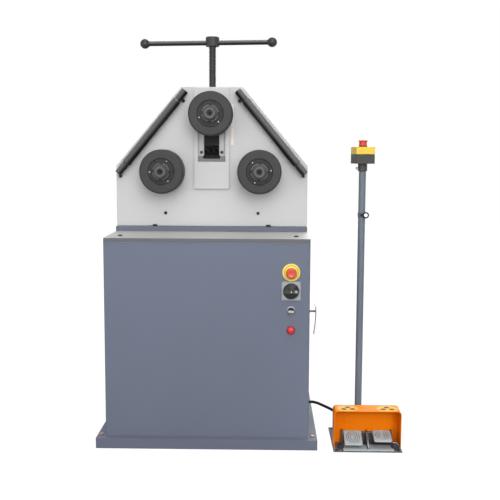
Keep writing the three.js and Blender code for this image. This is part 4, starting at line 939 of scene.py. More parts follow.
@dataclass(frozen=True)
class Lamp:
    """A round lamp of the studio.

    Args:
        name: Its name.
        place: Where it stands in metres.
        target: What it shines at in metres.
        size: Its width in metres.
        power: Its power in watts.
        spread: How far its light opens in degrees.
    """

    name: str
    place: Point
    target: Point
    size: float
    power: float
    spread: float

    def hang(self) -> Piece:
        """Makes the lamp.

        Returns:
            The lamp.
        """
        data = bpy.data.lights.new(self.name, "AREA")
        data.shape, data.size, data.energy = "DISK", self.size, self.power
        data.spread = radians(self.spread)
        lamp = bpy.data.objects.new(self.name, data)
        way = Vector(self.target) - Vector(self.place)
        lamp.rotation_euler = way.to_track_quat("-Z", "Y").to_euler()
        lamp.location = self.place
        bpy.context.scene.collection.objects.link(lamp)
        return lamp


LAMPS = (
    Lamp("key_lamp", (0.6, -3.2, 2.2), (0, 0, 1.3), 3.4, 26.0, 80.0),
    Lamp("fill_lamp", (-2.2, -3, 1.5), (0, 0, 1.2), 2.6, 8.0, 90.0),
    Lamp("back_lamp", (0.6, 3, 2.6), (0.1, 0, 0.7), 2.4, 70.0, 180.0),
    Lamp("cabinet_lamp", (0, 0, 0.68), (0, 0, 0.2), 0.3, 0.8, 160.0),
    Lamp("pedal_lamp", (1, -2, 0.75), (0.55, -0.26, 0.07), 0.35, 0.14, 24.0),
)


@dataclass(frozen=True)
class Studio:
    """Pale floor, white surroundings and soft lamps.

    Args:
        lamps: The round lamps.
        sky_way: Direction of the soft light from above.
        sky_spread: How wide that light is in degrees.
        sky_power: Its strength.
        ambient: Strength of the even light from all round.
        floor_glow: Brightness of the floor where the camera sees it.
        floor_share: Share of that brightness, so that the shadow keeps the rest.
        floor_low: Underside of the floor in mm.
        floor_thick: Its thickness in mm.
    """

    lamps: tuple[Lamp, ...] = LAMPS
    sky_way: Point = (-0.1, 0.32, -0.94)
    sky_spread: float = 60.0
    sky_power: float = 1.15
    ambient: float = 0.2
    floor_glow: float = 1.43
    floor_share: float = 0.7
    floor_low: float = -24.0
    floor_thick: float = 23.9

    def build(self) -> None:
        """Makes the lamps, the world and the floor."""
        for lamp in self.lamps:
            lamp.hang()
        self._sky()
        self._world()
        self._floor()
        bpy.context.scene.view_settings.view_transform = "Standard"

    def _sky(self) -> None:
        """Makes the soft light from above."""
        data = bpy.data.lights.new("sky_lamp", "SUN")
        data.energy, data.angle = self.sky_power, radians(self.sky_spread)
        lamp = bpy.data.objects.new("sky_lamp", data)
        lamp.rotation_euler = Vector(self.sky_way).to_track_quat("-Z", "Y").to_euler()
        bpy.context.scene.collection.objects.link(lamp)

    @staticmethod
    def _seen(tree: bpy.types.NodeTree) -> Socket:
        """One where the camera, a reflection or clear matter looks straight at the surroundings.

        Args:
            tree: The nodes that it is added to.

        Returns:
            A socket that is 1 there and 0 elsewhere.
        """
        path = tree.nodes.new("ShaderNodeLightPath")
        value = path.outputs["Is Camera Ray"]
        for name in ("Is Glossy Ray", "Is Transmission Ray"):
            pick = tree.nodes.new("ShaderNodeMath")
            pick.operation = "MAXIMUM"
            tree.links.new(value, pick.inputs[0])
            tree.links.new(path.outputs[name], pick.inputs[1])
            value = pick.outputs[0]
        return value

    def _world(self) -> None:
        """Makes the surroundings: white to look at, and a weaker light on all else."""
        world = bpy.data.worlds.new("surroundings")
        bpy.context.scene.world = world
        world.use_nodes = True
        tree = world.node_tree
        tree.nodes.clear()
        mix = tree.nodes.new("ShaderNodeMixShader")
        for place, strength in ((1, self.ambient), (2, 1.0)):
            light = tree.nodes.new("ShaderNodeBackground")
            light.inputs["Color"].default_value = (1.0, 1.0, 1.0, 1.0)
            light.inputs["Strength"].default_value = strength
            tree.links.new(light.outputs[0], mix.inputs[place])
        out = tree.nodes.new("ShaderNodeOutputWorld")
        tree.links.new(self._seen(tree), mix.inputs["Fac"])
        tree.links.new(mix.outputs[0], out.inputs["Surface"])

    def _floor(self) -> None:
        """Makes the floor, which glows for the camera and still takes the shadow."""
        corners = [(x, y, self.floor_low) for x, y in (
            (-9000, -7000), (9000, -7000), (9000, 9000), (-9000, 9000))]
        floor = Form().extrude(corners, (0, 0, self.floor_thick)).piece("studio_floor", 2.0)
        graph = Graph("studio_floor")
        tone = graph.add("ShaderNodeHueSaturation")
        shade = graph.spread(graph.noise(graph.place(), 400.0), 0.995, 1.005)
        graph.feed(tone, Color=(0.2, 0.2, 0.2, 1.0), Value=shade)
        graph.feed(graph.shader, Base_Color=tone.outputs["Color"], Roughness=0.9)
        glow = graph.add("ShaderNodeEmission")
        graph.feed(glow, Color=(1.0, 1.0, 1.0, 1.0), Strength=self.floor_glow)
        share = graph.add("ShaderNodeMath", operation="MULTIPLY")
        graph.tree.links.new(self._seen(graph.tree), share.inputs[0])
        share.inputs[1].default_value = self.floor_share
        mix = graph.add("ShaderNodeMixShader")
        out = graph.tree.nodes["Material Output"]
        graph.tree.links.new(share.outputs[0], mix.inputs["Fac"])
        graph.tree.links.new(graph.shader.outputs[0], mix.inputs[1])
        graph.tree.links.new(glow.outputs[0], mix.inputs[2])
        graph.tree.links.new(mix.outputs[0], out.inputs["Surface"])
        floor.data.materials.append(graph.material)


@dataclass(frozen=True)
class Assembly:
    """A sub-assembly of the machine. Its sizes are in mm and its angles in degrees.

    Args:
        shop: Where its pieces are painted and set on their bodies.
    """

    shop: Workshop

    def build(self) -> None:
        """Makes its pieces."""
        raise NotImplementedError


@dataclass(frozen=True)
class PedalCable(Assembly):
    """The black cable from the cabinet to the pedal unit, with its glands.

    Args:
        route: Points along its middle line.
        radius: Its radius.
        between: Steps from one point to the next.
        wall_x: Where the cabinet's wall stands.
        hood_y: Where the hood's back stands.
    """

    route: tuple[Point, ...] = (
        (364.3, -30, 88), (378, -30, 87.8), (391, -31.5, 85.5), (404, -36, 81.8), (416, -44, 78.6),
        (428, -55, 76.2), (439, -69, 74.6), (448, -85, 73.8), (456, -102, 73.6), (463, -120, 74),
        (469, -139, 75.2), (474, -158, 76.8), (477.5, -175, 78.4), (479.5, -190, 79.6), (480, -201, 80),
        (480, -211.7, 80),
    )
    radius: float = 5.2
    between: int = 6
    wall_x: float = 350.0
    hood_y: float = -226.0

    def _line(self) -> list[Vector]:
        """The route as a smooth line through its points.

        Returns:
            Points along the line in mm.
        """
        points = [Vector(p) for p in self.route]
        points = [2 * points[0] - points[1], *points, 2 * points[-1] - points[-2]]
        line = []
        for a, b, c, d in zip(points, points[1:], points[2:], points[3:]):
            for k in range(self.between):
                t = k / self.between
                line.append(0.5 * (2 * b + (c - a) * t + (2 * a - 5 * b + 4 * c - d) * t ** 2
                                   + (3 * b - a - 3 * c + d) * t ** 3))
        return [*line, points[-2]]

    def build(self) -> None:
        """Lays the cable and sets its glands."""
        line = self._line()
        curve = bpy.data.curves.new("pedal_cable_line", "CURVE")
        curve.dimensions = "3D"
        curve.bevel_depth = self.radius * MM
        curve.bevel_resolution = 5
        curve.use_fill_caps = True
        spline = curve.splines.new("POLY")
        spline.points.add(len(line) - 1)
        for point, place in zip(spline.points, line):
            point.co = (*(place * MM), 1.0)
        cable = bpy.data.objects.new("pedal_cable_line", curve)
        bpy.context.scene.collection.objects.link(cable)
        self.shop.fit(cable, "root", RUBBER, "pedal_cable")
        first, last = self.route[0], self.route[-1]
        seat = (last[0], self.hood_y, last[2])
        self._gland("cabinet_gland", (self.wall_x, first[1], first[2]), TO_RIGHT, 12.0)
        self._gland("pedal_gland", seat, TO_BACK, 2.6)
        cap = Form().turn([(0, -2.62), (9.6, -2.62), (9.6, -3), (8.6, -3.6), (0, -3.8)],
                          seat, TO_BACK, 48)
        self.shop.fit(cap.piece("hood_hole_cap", 0.2, 2), "root", ORANGE)

    def _gland(self, node: str, seat: Point, axis: Point, depth: float) -> None:
        """A gland with a hexagon at its foot and a dome round its mouth.

        Args:
            node: Name of its solid.
            seat: Where it stands on the wall.
            axis: Its direction out of the wall.
            depth: How far it goes through the wall.
        """
        form = Form()
        form.turn([
            (5.5, 5.5), (9.4, 5.5), (9.6, 9), (9, 11.6), (7.9, 13.4), (6.6, 14), (5.5, 13.6),
        ], seat, axis, 48, True)
        nut = [ring_points(10.2, 0, 6), ring_points(10.2, 4.4, 6), ring_points(9.7, 5.4, 0)]
        basis = Vector(axis).to_track_quat("Z", "Y").to_matrix()
        form.loft([[tuple(Vector(seat) + basis @ Vector(p)) for p in ring] for ring in nut])
        form.turn([(0, -depth), (6.9, -depth), (6.9, 0.4), (0, 0.4)], seat, axis, 48)
        self.shop.fit(form.piece(f"{node}_piece", 0.4), "root", BLACK_PLASTIC, node)


@dataclass(frozen=True)
class Cabinet(Assembly):
    """Plinth, cabinet, service door with its lever, and table.

    Args:
        table_top: Height of the table's solid.
        table_rise: How much higher its top lies in the photograph.
        bead: Two corners of the thin bead under the table's front edge, painted lighter than the cabinet as
            a highlight.
        anchor: How far the anchor bolts stand to the side and to the back.
        plinth_top: Height that they stand on.
        lever_seat: Where the door lever's shaft leaves the wall.
        lever_thick: Half the thickness of its blade.
        lever_line: Place to the right, height and half width along the blade.
    """

    table_top: float = 720.0
    table_rise: float = 2.5
    bead: tuple[Point, Point] = ((-349.6, -281.3, 704.7), (349.6, -279.5, 707.9))
    anchor: Pair = (365.0, 270.0)
    plinth_top: float = 35.0
    lever_seat: Point = (350.0, -170.0, 457.0)
    lever_thick: float = 2.3
    lever_line: tuple[Point, ...] = (
        (372.4, 480, 7), (374.9, 475, 7.8), (376.8, 467, 8.3), (377.6, 457, 8.5), (377.4, 446, 8.5),
        (376.7, 432, 8.2), (375.6, 417, 7.8), (374.2, 402, 7.3), (372.5, 388, 6.8), (371, 378, 6),
        (370.6, 374.3, 4.6),
    )

    def build(self) -> None:
        """Makes the cabinet from the floor up."""
        shop = self.shop
        shop.dress("plinth", "root", PLINTH_BLUE, 2.2, 4)
        shell = Form.of_node("cabinet_shell", True).piece("cabinet_shell_piece", 0.9, 2)
        shop.fit(shell, "root", BLUE, "cabinet_shell")
        shop.dress("service_door", "door", BLUE, 1.0, 2)
        # The flange takes a darker copy of the cabinet paint as painted shade.
        for node, finish, bevel in (("table_plate", TABLE, 1.0), ("head_base_flange", FLANGE_SHADE_BLUE, 1.4)):
            form = Form.of_node(node).shift(
                lambda place: abs(place.z - self.table_top) < 0.1, (0, 0, self.table_rise))
            shop.fit(form.piece(f"{node}_piece", bevel), "root", finish, node)
        # The bead is painted lighter than the cabinet as a highlight.
        shop.fit(Form().box(*self.bead).piece("cabinet_top_bead", 0.8), "root", BEAD_HIGHLIGHT_BLUE)
        self._anchors()
        self._screws()
        self._hinge_pin()
        self._lever()

    def _anchors(self) -> None:
        """Bolts in the corners of the plinth, turned differently on either side."""
        x, y = self.anchor
        spots = [Spot((sx * x, sy * y, self.plinth_top), (0, 0, 0.3 * sx * x))
                 for sx in (-1, 1) for sy in (-1, 1)]
        self.shop.copies("anchor_bolts", self.shop.patterns.hex_bolt, spots, "root", BRASSY, 0.72)

    def _screws(self) -> None:
        """Screws of the table and bolts of the head's flange."""
        patterns = self.shop.patterns
        table = [Spot((x, -204.0, self.table_top + self.table_rise - 0.8)) for x in (-304, 304)]
        self.shop.copies("table_screws", patterns.dome_screw, table, "root", SCREW_BLACK, 2.2)
        flange = [Spot((x, -11.5, 740.0), (0, 0, 0.2 * x)) for x in (-208, 208)]
        self.shop.copies("flange_bolts", patterns.hex_bolt, flange, "root", SCREW_BLACK, 0.95)

    def _hinge_pin(self) -> None:
        """The pin of the door's hinge, with bevelled ends."""
        low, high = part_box("door_hinge_pin")
        x, y = (low.x + high.x) / (2 * MM), (low.y + high.y) / (2 * MM)
        z0, z1 = low.z / MM, high.z / MM
        profile = [(0, z0), (1.7, z0), (2.3, z0 + 1.5), (2.3, z1 - 1.5), (1.7, z1), (0, z1)]
        form = Form().turn(profile, (x, y, 0), UPWARDS, 24)
        self.shop.fit(form.piece("door_hinge_pin_piece", 0.2), "root", GROUND, "door_hinge_pin")

    def _lever(self) -> None:
        """A swung handle: a slim curved blade on a round hub, with its shaft and cam inside."""
        line, rings = self.lever_line, []
        _, middle, height = self.lever_seat
        last = len(line) - 1
        for i, (x, z, half) in enumerate(line):
            before, after = line[max(i - 1, 0)], line[min(i + 1, last)]
            along = Vector((after[0] - before[0], 0, after[1] - before[1])).normalized()
            across = Vector((along.z, 0, -along.x))
            end = 0.72 if i in (0, last) else 1.0
            ring = []
            for k in range(24):
                angle = 2 * pi * k / 24
                c, s = cos(angle), sin(angle)
                y = half * copysign(abs(c) ** 0.55, c)
                t = self.lever_thick * end * copysign(abs(s) ** 0.7, s)
                ring.append(Vector((x, middle + y, z)) + across * t)
            rings.append(ring)
        form = Form().loft(rings)
        hub = Form().turn([
            (0, 0.4), (8.4, 0.4), (8.4, 3.2), (5.6, 4.4), (3.7, 7), (3.7, 22), (4.4, 25.2), (0, 25.2),
        ], self.lever_seat, TO_RIGHT, 40)
        self.shop.fit(hub.piece("door_lever_hub", 0.4, 2, 40), "door_lever", LEVER_STEEL)
        form.turn([(0, -18), (4.8, -18), (4.8, 0.6), (0, 0.6)], self.lever_seat, TO_RIGHT, 32)
        outline = [(332.0, middle + y, height + z) for y, z in (
            (7, -7), (7, 7), (-18, 7), (-24, 3), (-24, -3), (-18, -7))]
        form.extrude(outline, (4, 0, 0))
        self.shop.fit(form.piece("door_lever_piece", 0.4, 2, 40), "door_lever", BRIGHT, "door_lever")


@dataclass(frozen=True)
class Head(Assembly):
    """Head housing with its cover, guide plate, gib strips and scale.

    Args:
        shoulder_rise: How much higher the left and the right slope end at the sides.
        top_reach: How far the slopes' upper ends move to the right.
        sill_top: Top of the sill in the window.
        scale_width: Width of the scale.
        scale_zero: Height of its zero line above its foot.
        scale_range: Its length.
        text_size: Height of its numbers.
    """

    shoulder_rise: Pair = (6.0, 7.0)
    top_reach: Pair = (-1.0, 2.5)
    sill_top: float = 996.5
    scale_width: float = 9.8
    scale_zero: float = 24.0
    scale_range: int = 100
    text_size: float = 3.2

    def build(self) -> None:
        """Makes the head with all that is on its face."""
        shop = self.shop
        for node, bevel in (("head_housing", 1.6), ("head_rear_cover", 0.8)):
            form = self._widen_slopes(Form.of_node(node))
            shop.fit(form.piece(f"{node}_piece", bevel), "root", HEAD_GREY, node)
        shop.dress("slide_guide_plate", "root", HEAD_GREY, 1.3, 3)
        for node in ("left_gib_strip", "right_gib_strip"):
            form = Form.of_node(node)
            for vert in form.mesh.verts:
                vert.co.z = max(vert.co.z, (self.sill_top + 0.5) * MM)
            shop.fit(form.piece(f"{node}_piece", 0.8, 2), "root", GIB_GREY, node)
        self._screws()
        self._cover_screws()
        self._sill()
        self._wiper()
        self._scale()

    def _widen_slopes(self, form: Form) -> Form:
        """Sets the slopes a little further out, as they are in the photograph.

        Args:
            form: The form of the housing or of its cover.

        Returns:
            The same form.
        """
        for side, rise, reach in zip((-1, 1), self.shoulder_rise, self.top_reach):
            form.shift(lambda place: side * place.x > 330 and 880 < place.z < 990, (0, 0, rise))
            form.shift(lambda place: 60 < side * place.x < 150 and place.z > 1190, (reach, 0, 0))
        return form

    def _screws(self) -> None:
        """Screws of the face and the gib strips, and stop screws at the support bars."""
        patterns = self.shop.patterns
        face = [Spot((x, 3.0, 788.0), FACE_FRONT) for x in (-170, 170)]
        self.shop.copies("face_screws", patterns.socket_screw, face, "root", SCREW_BLACK, 1.1)
        gibs = [Spot((x, -3.0, z), FACE_FRONT) for x in (-37, 37) for z in (1010, 1100, 1190)]
        self.shop.copies("gib_screws", patterns.socket_screw, gibs, "root", NUT_STEEL, 1.15)
        knobs = [Spot(p, FACE_FRONT) for p in (
            (-103, 3, 1195), (-335, 3, 922), (101, 3, 1195), (334, 3, 925))]
        self.shop.copies("bar_stop_screws", patterns.socket_screw, knobs, "root", SCREW_BLACK, 1.25)

    def _cover_screws(self) -> None:
        """Screws round the edge of the rear cover."""
        low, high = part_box("head_rear_cover")
        x1, z0, z1, y = high.x / MM, low.z / MM, high.z / MM, high.y / MM
        spots = [Spot((s * (x1 - 12), y, z), FACE_BACK)
                 for s in (-1, 1) for z in (z0 + 14, z0 + 105, z0 + 196)]
        spots += [Spot((s * 92, y, z1 - 12), FACE_BACK) for s in (-1, 1)]
        spots += [Spot((s * 222, y, z1 - 152), FACE_BACK) for s in (-1, 1)]
        spots += [Spot((x, y, z0 + 14), FACE_BACK) for x in (-170, 0, 170)]
        self.shop.copies("cover_screws", self.shop.patterns.dome_screw, spots, "root", SCREW_BLACK, 1.2)

    def _sill(self) -> None:
        """The plain steel strip at the foot of the window."""
        form = Form().box((-49, -3.2, 976.3), (49.0, 2.8, self.sill_top))
        self.shop.fit(form.piece("window_sill", 0.5, 2), "root", SILL_GREY)

    def _wiper(self) -> None:
        """The black brush at the foot of the slot, which also paints the dark shadow gap there."""
        form = Form().box((-30.5, -5.2, 987), (30.5, -3, 998.5))
        self.shop.fit(form.piece("slot_wiper", 0.7), "root", RUBBER)
        spots = [Spot((-28.6 + 5.2 * k, -5.0, 990.5 + 4.0 * (k % 2)), FACE_FRONT) for k in range(12)]
        self.shop.copies("slot_wiper_beads", self.shop.patterns.bead, spots, "root", RUBBER, 0.95)

    def _scale(self) -> None:
        """A pale strip with fine lines and plain numbers."""
        low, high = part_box("scale_strip")
        x0, y0, z0 = low.x / MM, low.y / MM, low.z / MM
        x1, zero, shop = x0 + self.scale_width, z0 + self.scale_zero, self.shop
        strip = Form().box((x0, y0, z0), (x1, high.y / MM, high.z / MM)).piece("scale_strip_piece", 0.3, 2)
        shop.fit(strip, "root", CREAM, "scale_strip")
        for name, reach, places in (
            ("scale_fine_lines", 2.0, [k for k in range(0, self.scale_range + 1, 2) if k % 10]),
            ("scale_long_lines", 3.6, range(0, self.scale_range + 1, 10)),
        ):
            rule = Form().box((0, -0.12, -0.18), (reach, 0.05, 0.18)).piece(f"{name}_pattern", 0)
            shop.copies(name, rule, [Spot((x0 + 1.0, y0, zero + k)) for k in places], "root", INK)
            bpy.data.objects.remove(rule)
        for k in range(0, self.scale_range + 1, 20):
            self._number(k, (x1 - 0.5, y0 - 0.02, zero + k))

    def _number(self, value: int, place: Point) -> None:
        """A plain number on the scale.

        Args:
            value: The number.
            place: The middle of its right-hand end.
        """
        name = f"scale_number_{value}"
        text = bpy.data.curves.new(name, "FONT")
        text.body, text.size, text.extrude = str(value), self.text_size * MM, 0.06 * MM
        text.align_x, text.align_y = "RIGHT", "CENTER"
        holder = bpy.data.objects.new(name, text)
        bpy.context.scene.collection.objects.link(holder)
        bpy.context.view_layer.update()
        graph = bpy.context.evaluated_depsgraph_get()
        mesh = bpy.data.meshes.new_from_object(holder.evaluated_get(graph), depsgraph=graph)
        bpy.data.objects.remove(holder)
        mesh.transform(Matrix.Translation(Vector(place) * MM) @ Matrix.Rotation(QUARTER, 4, "X"))
        number = bpy.data.objects.new(name, mesh)
        bpy.context.scene.collection.objects.link(number)
        self.shop.fit(number, "root", INK)


@dataclass(frozen=True)
class Slide(Assembly):
    """Slide block, nut, threaded screw, hub and crossbar.

    Args:
        axis_y: How far back the screw stands.
        pitch: Pitch of its thread.
        thread: Share of the pitch and radius of each corner of the thread.
        thread_ends: Heights of the thread's ends.
        bar_z: Height of the crossbar.
        bar_turn: How far the crossbar is turned about the screw.
        bar_half: Half its length between the balls' middles.
        bar_offset: How far it is pushed along itself, to the left where negative.
        ball: Radius of its balls.
    """

    axis_y: float = 52.0
    pitch: float = 5.0
    thread: tuple[Pair, ...] = ((0, 11.5), (0.22, 13), (0.5, 13), (0.72, 11.5))
    thread_ends: Pair = (1203.0, 1390.0)
    bar_z: float = 1407.0
    bar_turn: float = -7.0
    bar_half: float = 236.3
    bar_offset: float = -17.0
    ball: float = 18.0

    def build(self) -> None:
        """Makes the slide and all that moves it."""
        shop = self.shop
        shop.dress("slide_block", "slide", SLIDE_STEEL, 1.0)
        nut = Form().turn([
            (13.3, 1208.7), (28, 1208.7), (28, 1219.7), (22, 1219.7), (22, 1244.2), (20.5, 1245),
            (13.3, 1245)], (0, self.axis_y, 0), UPWARDS, STEPS, True)
        shop.fit(nut.piece("screw_nut_piece", 0.6), "root", BRONZE, "screw_nut")
        self._screw()
        self._hub()
        self._crossbar()

    def _bar_axis(self) -> Point:
        """Direction of the crossbar."""
        turn = radians(self.bar_turn)
        return (cos(turn), sin(turn), 0.0)

    def _on_bar(self, reach: float) -> Point:
        """A place on the crossbar's middle line, measured from the screw."""
        axis = self._bar_axis()
        return (axis[0] * reach, self.axis_y + axis[1] * reach, self.bar_z)

    def _screw(self) -> None:
        """A trapezoid thread below the hub, and plain ends."""
        (low, high), steps = self.thread_ends, 40
        form = Form()
        turns = int((high - low) / self.pitch)
        rows = [(turn + share, radius) for turn in range(turns) for share, radius in self.thread]
        circle = [2 * pi * k / steps for k in range(steps)]
        rings = [[
            (radius * cos(a), self.axis_y + radius * sin(a), low + (row + k / steps) * self.pitch)
            for k, a in enumerate(circle)] for row, radius in rows]
        made = [[form.mesh.verts.new(Vector(p) * MM) for p in ring] for ring in rings]
        jump = len(self.thread)
        for i in range(len(made) - 1):
            for k in range(steps - 1):
                form.mesh.faces.new((made[i][k], made[i][k + 1], made[i + 1][k + 1], made[i + 1][k]))
            if i + jump + 1 < len(made):
                form.mesh.faces.new(
                    (made[i][-1], made[i + jump][0], made[i + jump + 1][0], made[i + 1][-1]))
        foot = (0, self.axis_y, 0)
        for radius, z0, z1 in ((9.0, 1176.0, low + self.pitch), (12.6, high - self.pitch, 1422.0)):
            form.turn([
                (0, z0), (radius - 0.8, z0), (radius, z0 + 0.8), (radius, z1 - 0.8), (radius - 0.8, z1),
                (0, z1)], foot, UPWARDS, steps)
        form.turn([(0, 1200.4), (12.4, 1200.4), (12.4, low + 2.0), (10.3, low + 4.0), (0, low + 4.0)],
                  foot, UPWARDS, steps)
        self.shop.fit(form.piece("leadscrew_piece", 0, 2, 38), "screw", SCREW_STEEL, "leadscrew")

    def _hub(self) -> None:
        """The hub on the screw, bored across for the bar."""
        bore = Form().turn([(0, -40), (9.4, -40), (9.4, 40), (0, 40)],
                           self._on_bar(0.0), self._bar_axis(), 48)
        cutter = bore.piece("cross_hole", 0)
        form = Form().turn([
            (12.9, 1393), (22.6, 1393), (25, 1395.4), (25, 1399.5), (24.3, 1400.3), (24.3, 1413.7),
            (25, 1414.5), (25, 1425.6), (22.6, 1428), (14.6, 1428), (13.4, 1426.8), (13.4, 1423.4),
            (12.9, 1422.6)], (0, self.axis_y, 0), UPWARDS, STEPS, True)
        piece = form.piece("handle_hub_piece", 0.5, 2, 33, [cutter])
        self.shop.fit(piece, "screw", BLACK_STEEL, "handle_hub")
        bpy.data.objects.remove(cutter)

    def _crossbar(self) -> None:
        """The sliding bar with a black knob on each end."""
        axis, ball = self._bar_axis(), self.ball
        end = self.bar_half - 12
        form = Form().turn(
            [(0, -end), (8.9, -end), (8.9, end), (0, end)], self._on_bar(self.bar_offset), axis, 48)
        # The crossbar takes the bars' finish, which paints light on its top and shade on its underside.
        self.shop.fit(form.piece("crossbar_piece", 0.5), "crossbar", BAR_STEEL_LIT_AND_SHADED, "crossbar")
        for word, side in (("left", -1), ("right", 1)):
            outward = tuple(side * value for value in axis)
            profile = [(0, -17), (9.6, -17), (10.4, -16.2), (10.9, -14.2)]
            for k in range(7, 37):
                angle = radians(-90 + 180 * k / 36)
                if ball * sin(angle) > -14.0:
                    profile.append((ball * cos(angle), ball * sin(angle)))
            profile[-1] = (0, ball)
            knob = Form().turn(
                profile, self._on_bar(self.bar_offset + side * self.bar_half), outward, 64)
            self.shop.fit(knob.piece(f"crossbar_{word}_ball", 0.3, 2), "crossbar", BALL_BLACK)


@dataclass(frozen=True)
class Roll(Assembly):
    """A roll of three rings on its shaft, with its round nut.

    Args:
        word: Its word in the names of the nodes.
        x: Place of its axis to the right.
        z: Height of its axis.
        tail: How far back its shaft ends.
        pins: Angles of its bright pins.
        holes: Angles of its dark holes.
        pin_circle: Radius of the circle of its pins and holes.
        groove_middles: Places of the two grooves between its rings.
        nut_steps: Sides of its nut.
        slot_steps: How many of them each of the nut's four slots takes.
        slot_floor: Radius of the floor of the slots.
    """

    word: str
    x: float
    z: float
    tail: float
    pins: tuple[float, ...]
    holes: tuple[float, ...]
    pin_circle: float = 41.5
    groove_middles: Pair = (-62.7, -37.3)
    nut_steps: int = 96
    slot_steps: int = 5
    slot_floor: float = 26.4

    @property
    def body(self) -> str:
        """Name of the body that it turns with, and of its own node."""
        return f"{self.word}_roll"

    @property
    def centre(self) -> Point:
        """The point of its axis at y = 0."""
        return (self.x, 0.0, self.z)

    def _round(self, reach: float, y: float, angle: float) -> Point:
        """A place on a circle about its axis."""
        return (self.x + reach * cos(angle), y, self.z + reach * sin(angle))

    def build(self) -> None:
        """Makes the roll with its shaft, nut, pins and holes."""
        shop = self.shop
        profile = [
            (20.4, -84), (45.6, -84), (46.2, -86), (48.6, -88), (73.4, -88), (74.2, -87.7), (79, -83.6)]
        for middle in self.groove_middles:
            profile += [(79, middle - 1.6), (77.3, middle), (79, middle + 1.6)]
        profile += [(79, -15.6), (74.6, -12), (20.4, -12)]
        roll = Form().turn(profile, self.centre, TO_BACK, 128, True)
        shop.fit(roll.piece(f"{self.body}_piece", 0.4, 2), self.body, ROLL_STEEL, self.body)
        # A darker liner on the floor of the recess: painted shade in the recess.
        liner = Form().turn([(30.3, -84.9), (45.7, -84.9), (45.7, -84.1), (30.3, -84.1)],
                            self.centre, TO_BACK, 96, True)
        shop.fit(liner.piece(f"{self.body}_recess", 0.2, 2), self.body, RECESS_SHADE_STEEL)
        self._shaft()
        self._nut()
        self._trim()

    def _shaft(self) -> None:
        """The shaft with its collar, and the centre hole in its front end, whose floor is lined with
        near-black discs as painted shade.
        """
        tail, centre = self.tail, self.centre
        form = Form().turn([
            (0, -111.5), (4.3, -110), (4.5, -117), (9.6, -117), (10.6, -118.4), (10.6, -122.8),
            (11.8, -124), (18.4, -124), (20, -122.2), (20, -114.5), (19.4, -113.9), (19.4, -112.6),
            (20, -112), (20, -11.7), (28, -11.7), (28, -5.3), (20, -5.3), (20, tail - 1.5), (18.5, tail),
            (0, tail)], centre, TO_BACK, 96)
        # Two near-black discs in the centre hole: painted shade on its floor.
        dark = Form().turn([(4.4, -117.5), (10.4, -117.5), (10.4, -117), (4.4, -117)],
                           centre, TO_BACK, 48, True)
        self.shop.fit(dark.piece(f"{self.body}_centre", 0.1, 2), self.body, SCREW_BLACK)
        deep = Form().turn([(0, -114), (4.3, -114), (4.3, -112), (0, -112)], centre, TO_BACK, 32)
        self.shop.fit(deep.piece(f"{self.body}_centre_hole", 0.1, 2), self.body, HOLE_SHADE_BLACK)
        node = f"{self.word}_roll_shaft"
        self.shop.fit(form.piece(f"{node}_piece", 0.35, 2), self.body, SHAFT_STEEL, node)

    def _nut(self) -> None:
        """A slotted ring with a smaller boss in front, and a bright rim on the ring's front edge as a
        painted highlight.
        """
        steps, quarter, rings = self.nut_steps, self.nut_steps // 4, []
        for radius, y, slotted in (
            (20.3, -84.3, False), (29.6, -84.3, True), (30, -85, True), (30, -98.4, True),
            (29.2, -99.3, True), (20.3, -99.3, False),
        ):
            ring = []
            for k in range(steps):
                in_slot = (k + 3) % quarter < self.slot_steps
                reach = min(radius, self.slot_floor) if slotted and in_slot else radius
                ring.append(self._round(reach, y, 2 * pi * k / steps))
            rings.append(ring)
        form = Form().loft(rings, [2.0 * k for k in range(len(rings))], True)
        node = f"{self.word}_roll_nut"
        self.shop.fit(form.piece(f"{node}_piece", 0.3, 2), self.body, NUT_STEEL, node)
        boss = Form().turn([
            (20.3, -99.1), (23.4, -99.1), (23.4, -99.5), (22.2, -100.4), (22.2, -121.6), (21.4, -122.8),
            (20.3, -123.2)], self.centre, TO_BACK, 96, True)
        self.shop.fit(boss.piece(f"{node}_boss", 0.2, 2), self.body, SHAFT_STEEL)
        # A bright rim on the nut's front edge: a painted highlight.
        rim = Form()
        for first in range(2, steps, quarter):
            angles = [2 * pi * k / steps for k in range(first, first + quarter - self.slot_steps)]
            rim.loft([[self._round(reach, y, angle) for reach, y in (
                (28.5, -98.9), (30.2, -98), (30.2, -99.2), (29.2, -100))] for angle in angles])
        self.shop.fit(rim.piece(f"{node}_rim", 0.1, 2), self.body, RIM_HIGHLIGHT_STEEL)

    def _trim(self) -> None:
        """Bright pins, and holes in the floor of the recess painted near-black as shade."""
        patterns = self.shop.patterns
        for name, pattern, angles, finish, size in (
            ("pins", patterns.pin, self.pins, PIN_STEEL, 0.9),
            ("holes", patterns.hole, self.holes, HOLE_SHADE_BLACK, 1.25),
        ):
            spots = [Spot(self._round(self.pin_circle, -84.8, radians(a)), FACE_FRONT) for a in angles]
            self.shop.copies(f"{self.body}_{name}", pattern, spots, self.body, finish, size)


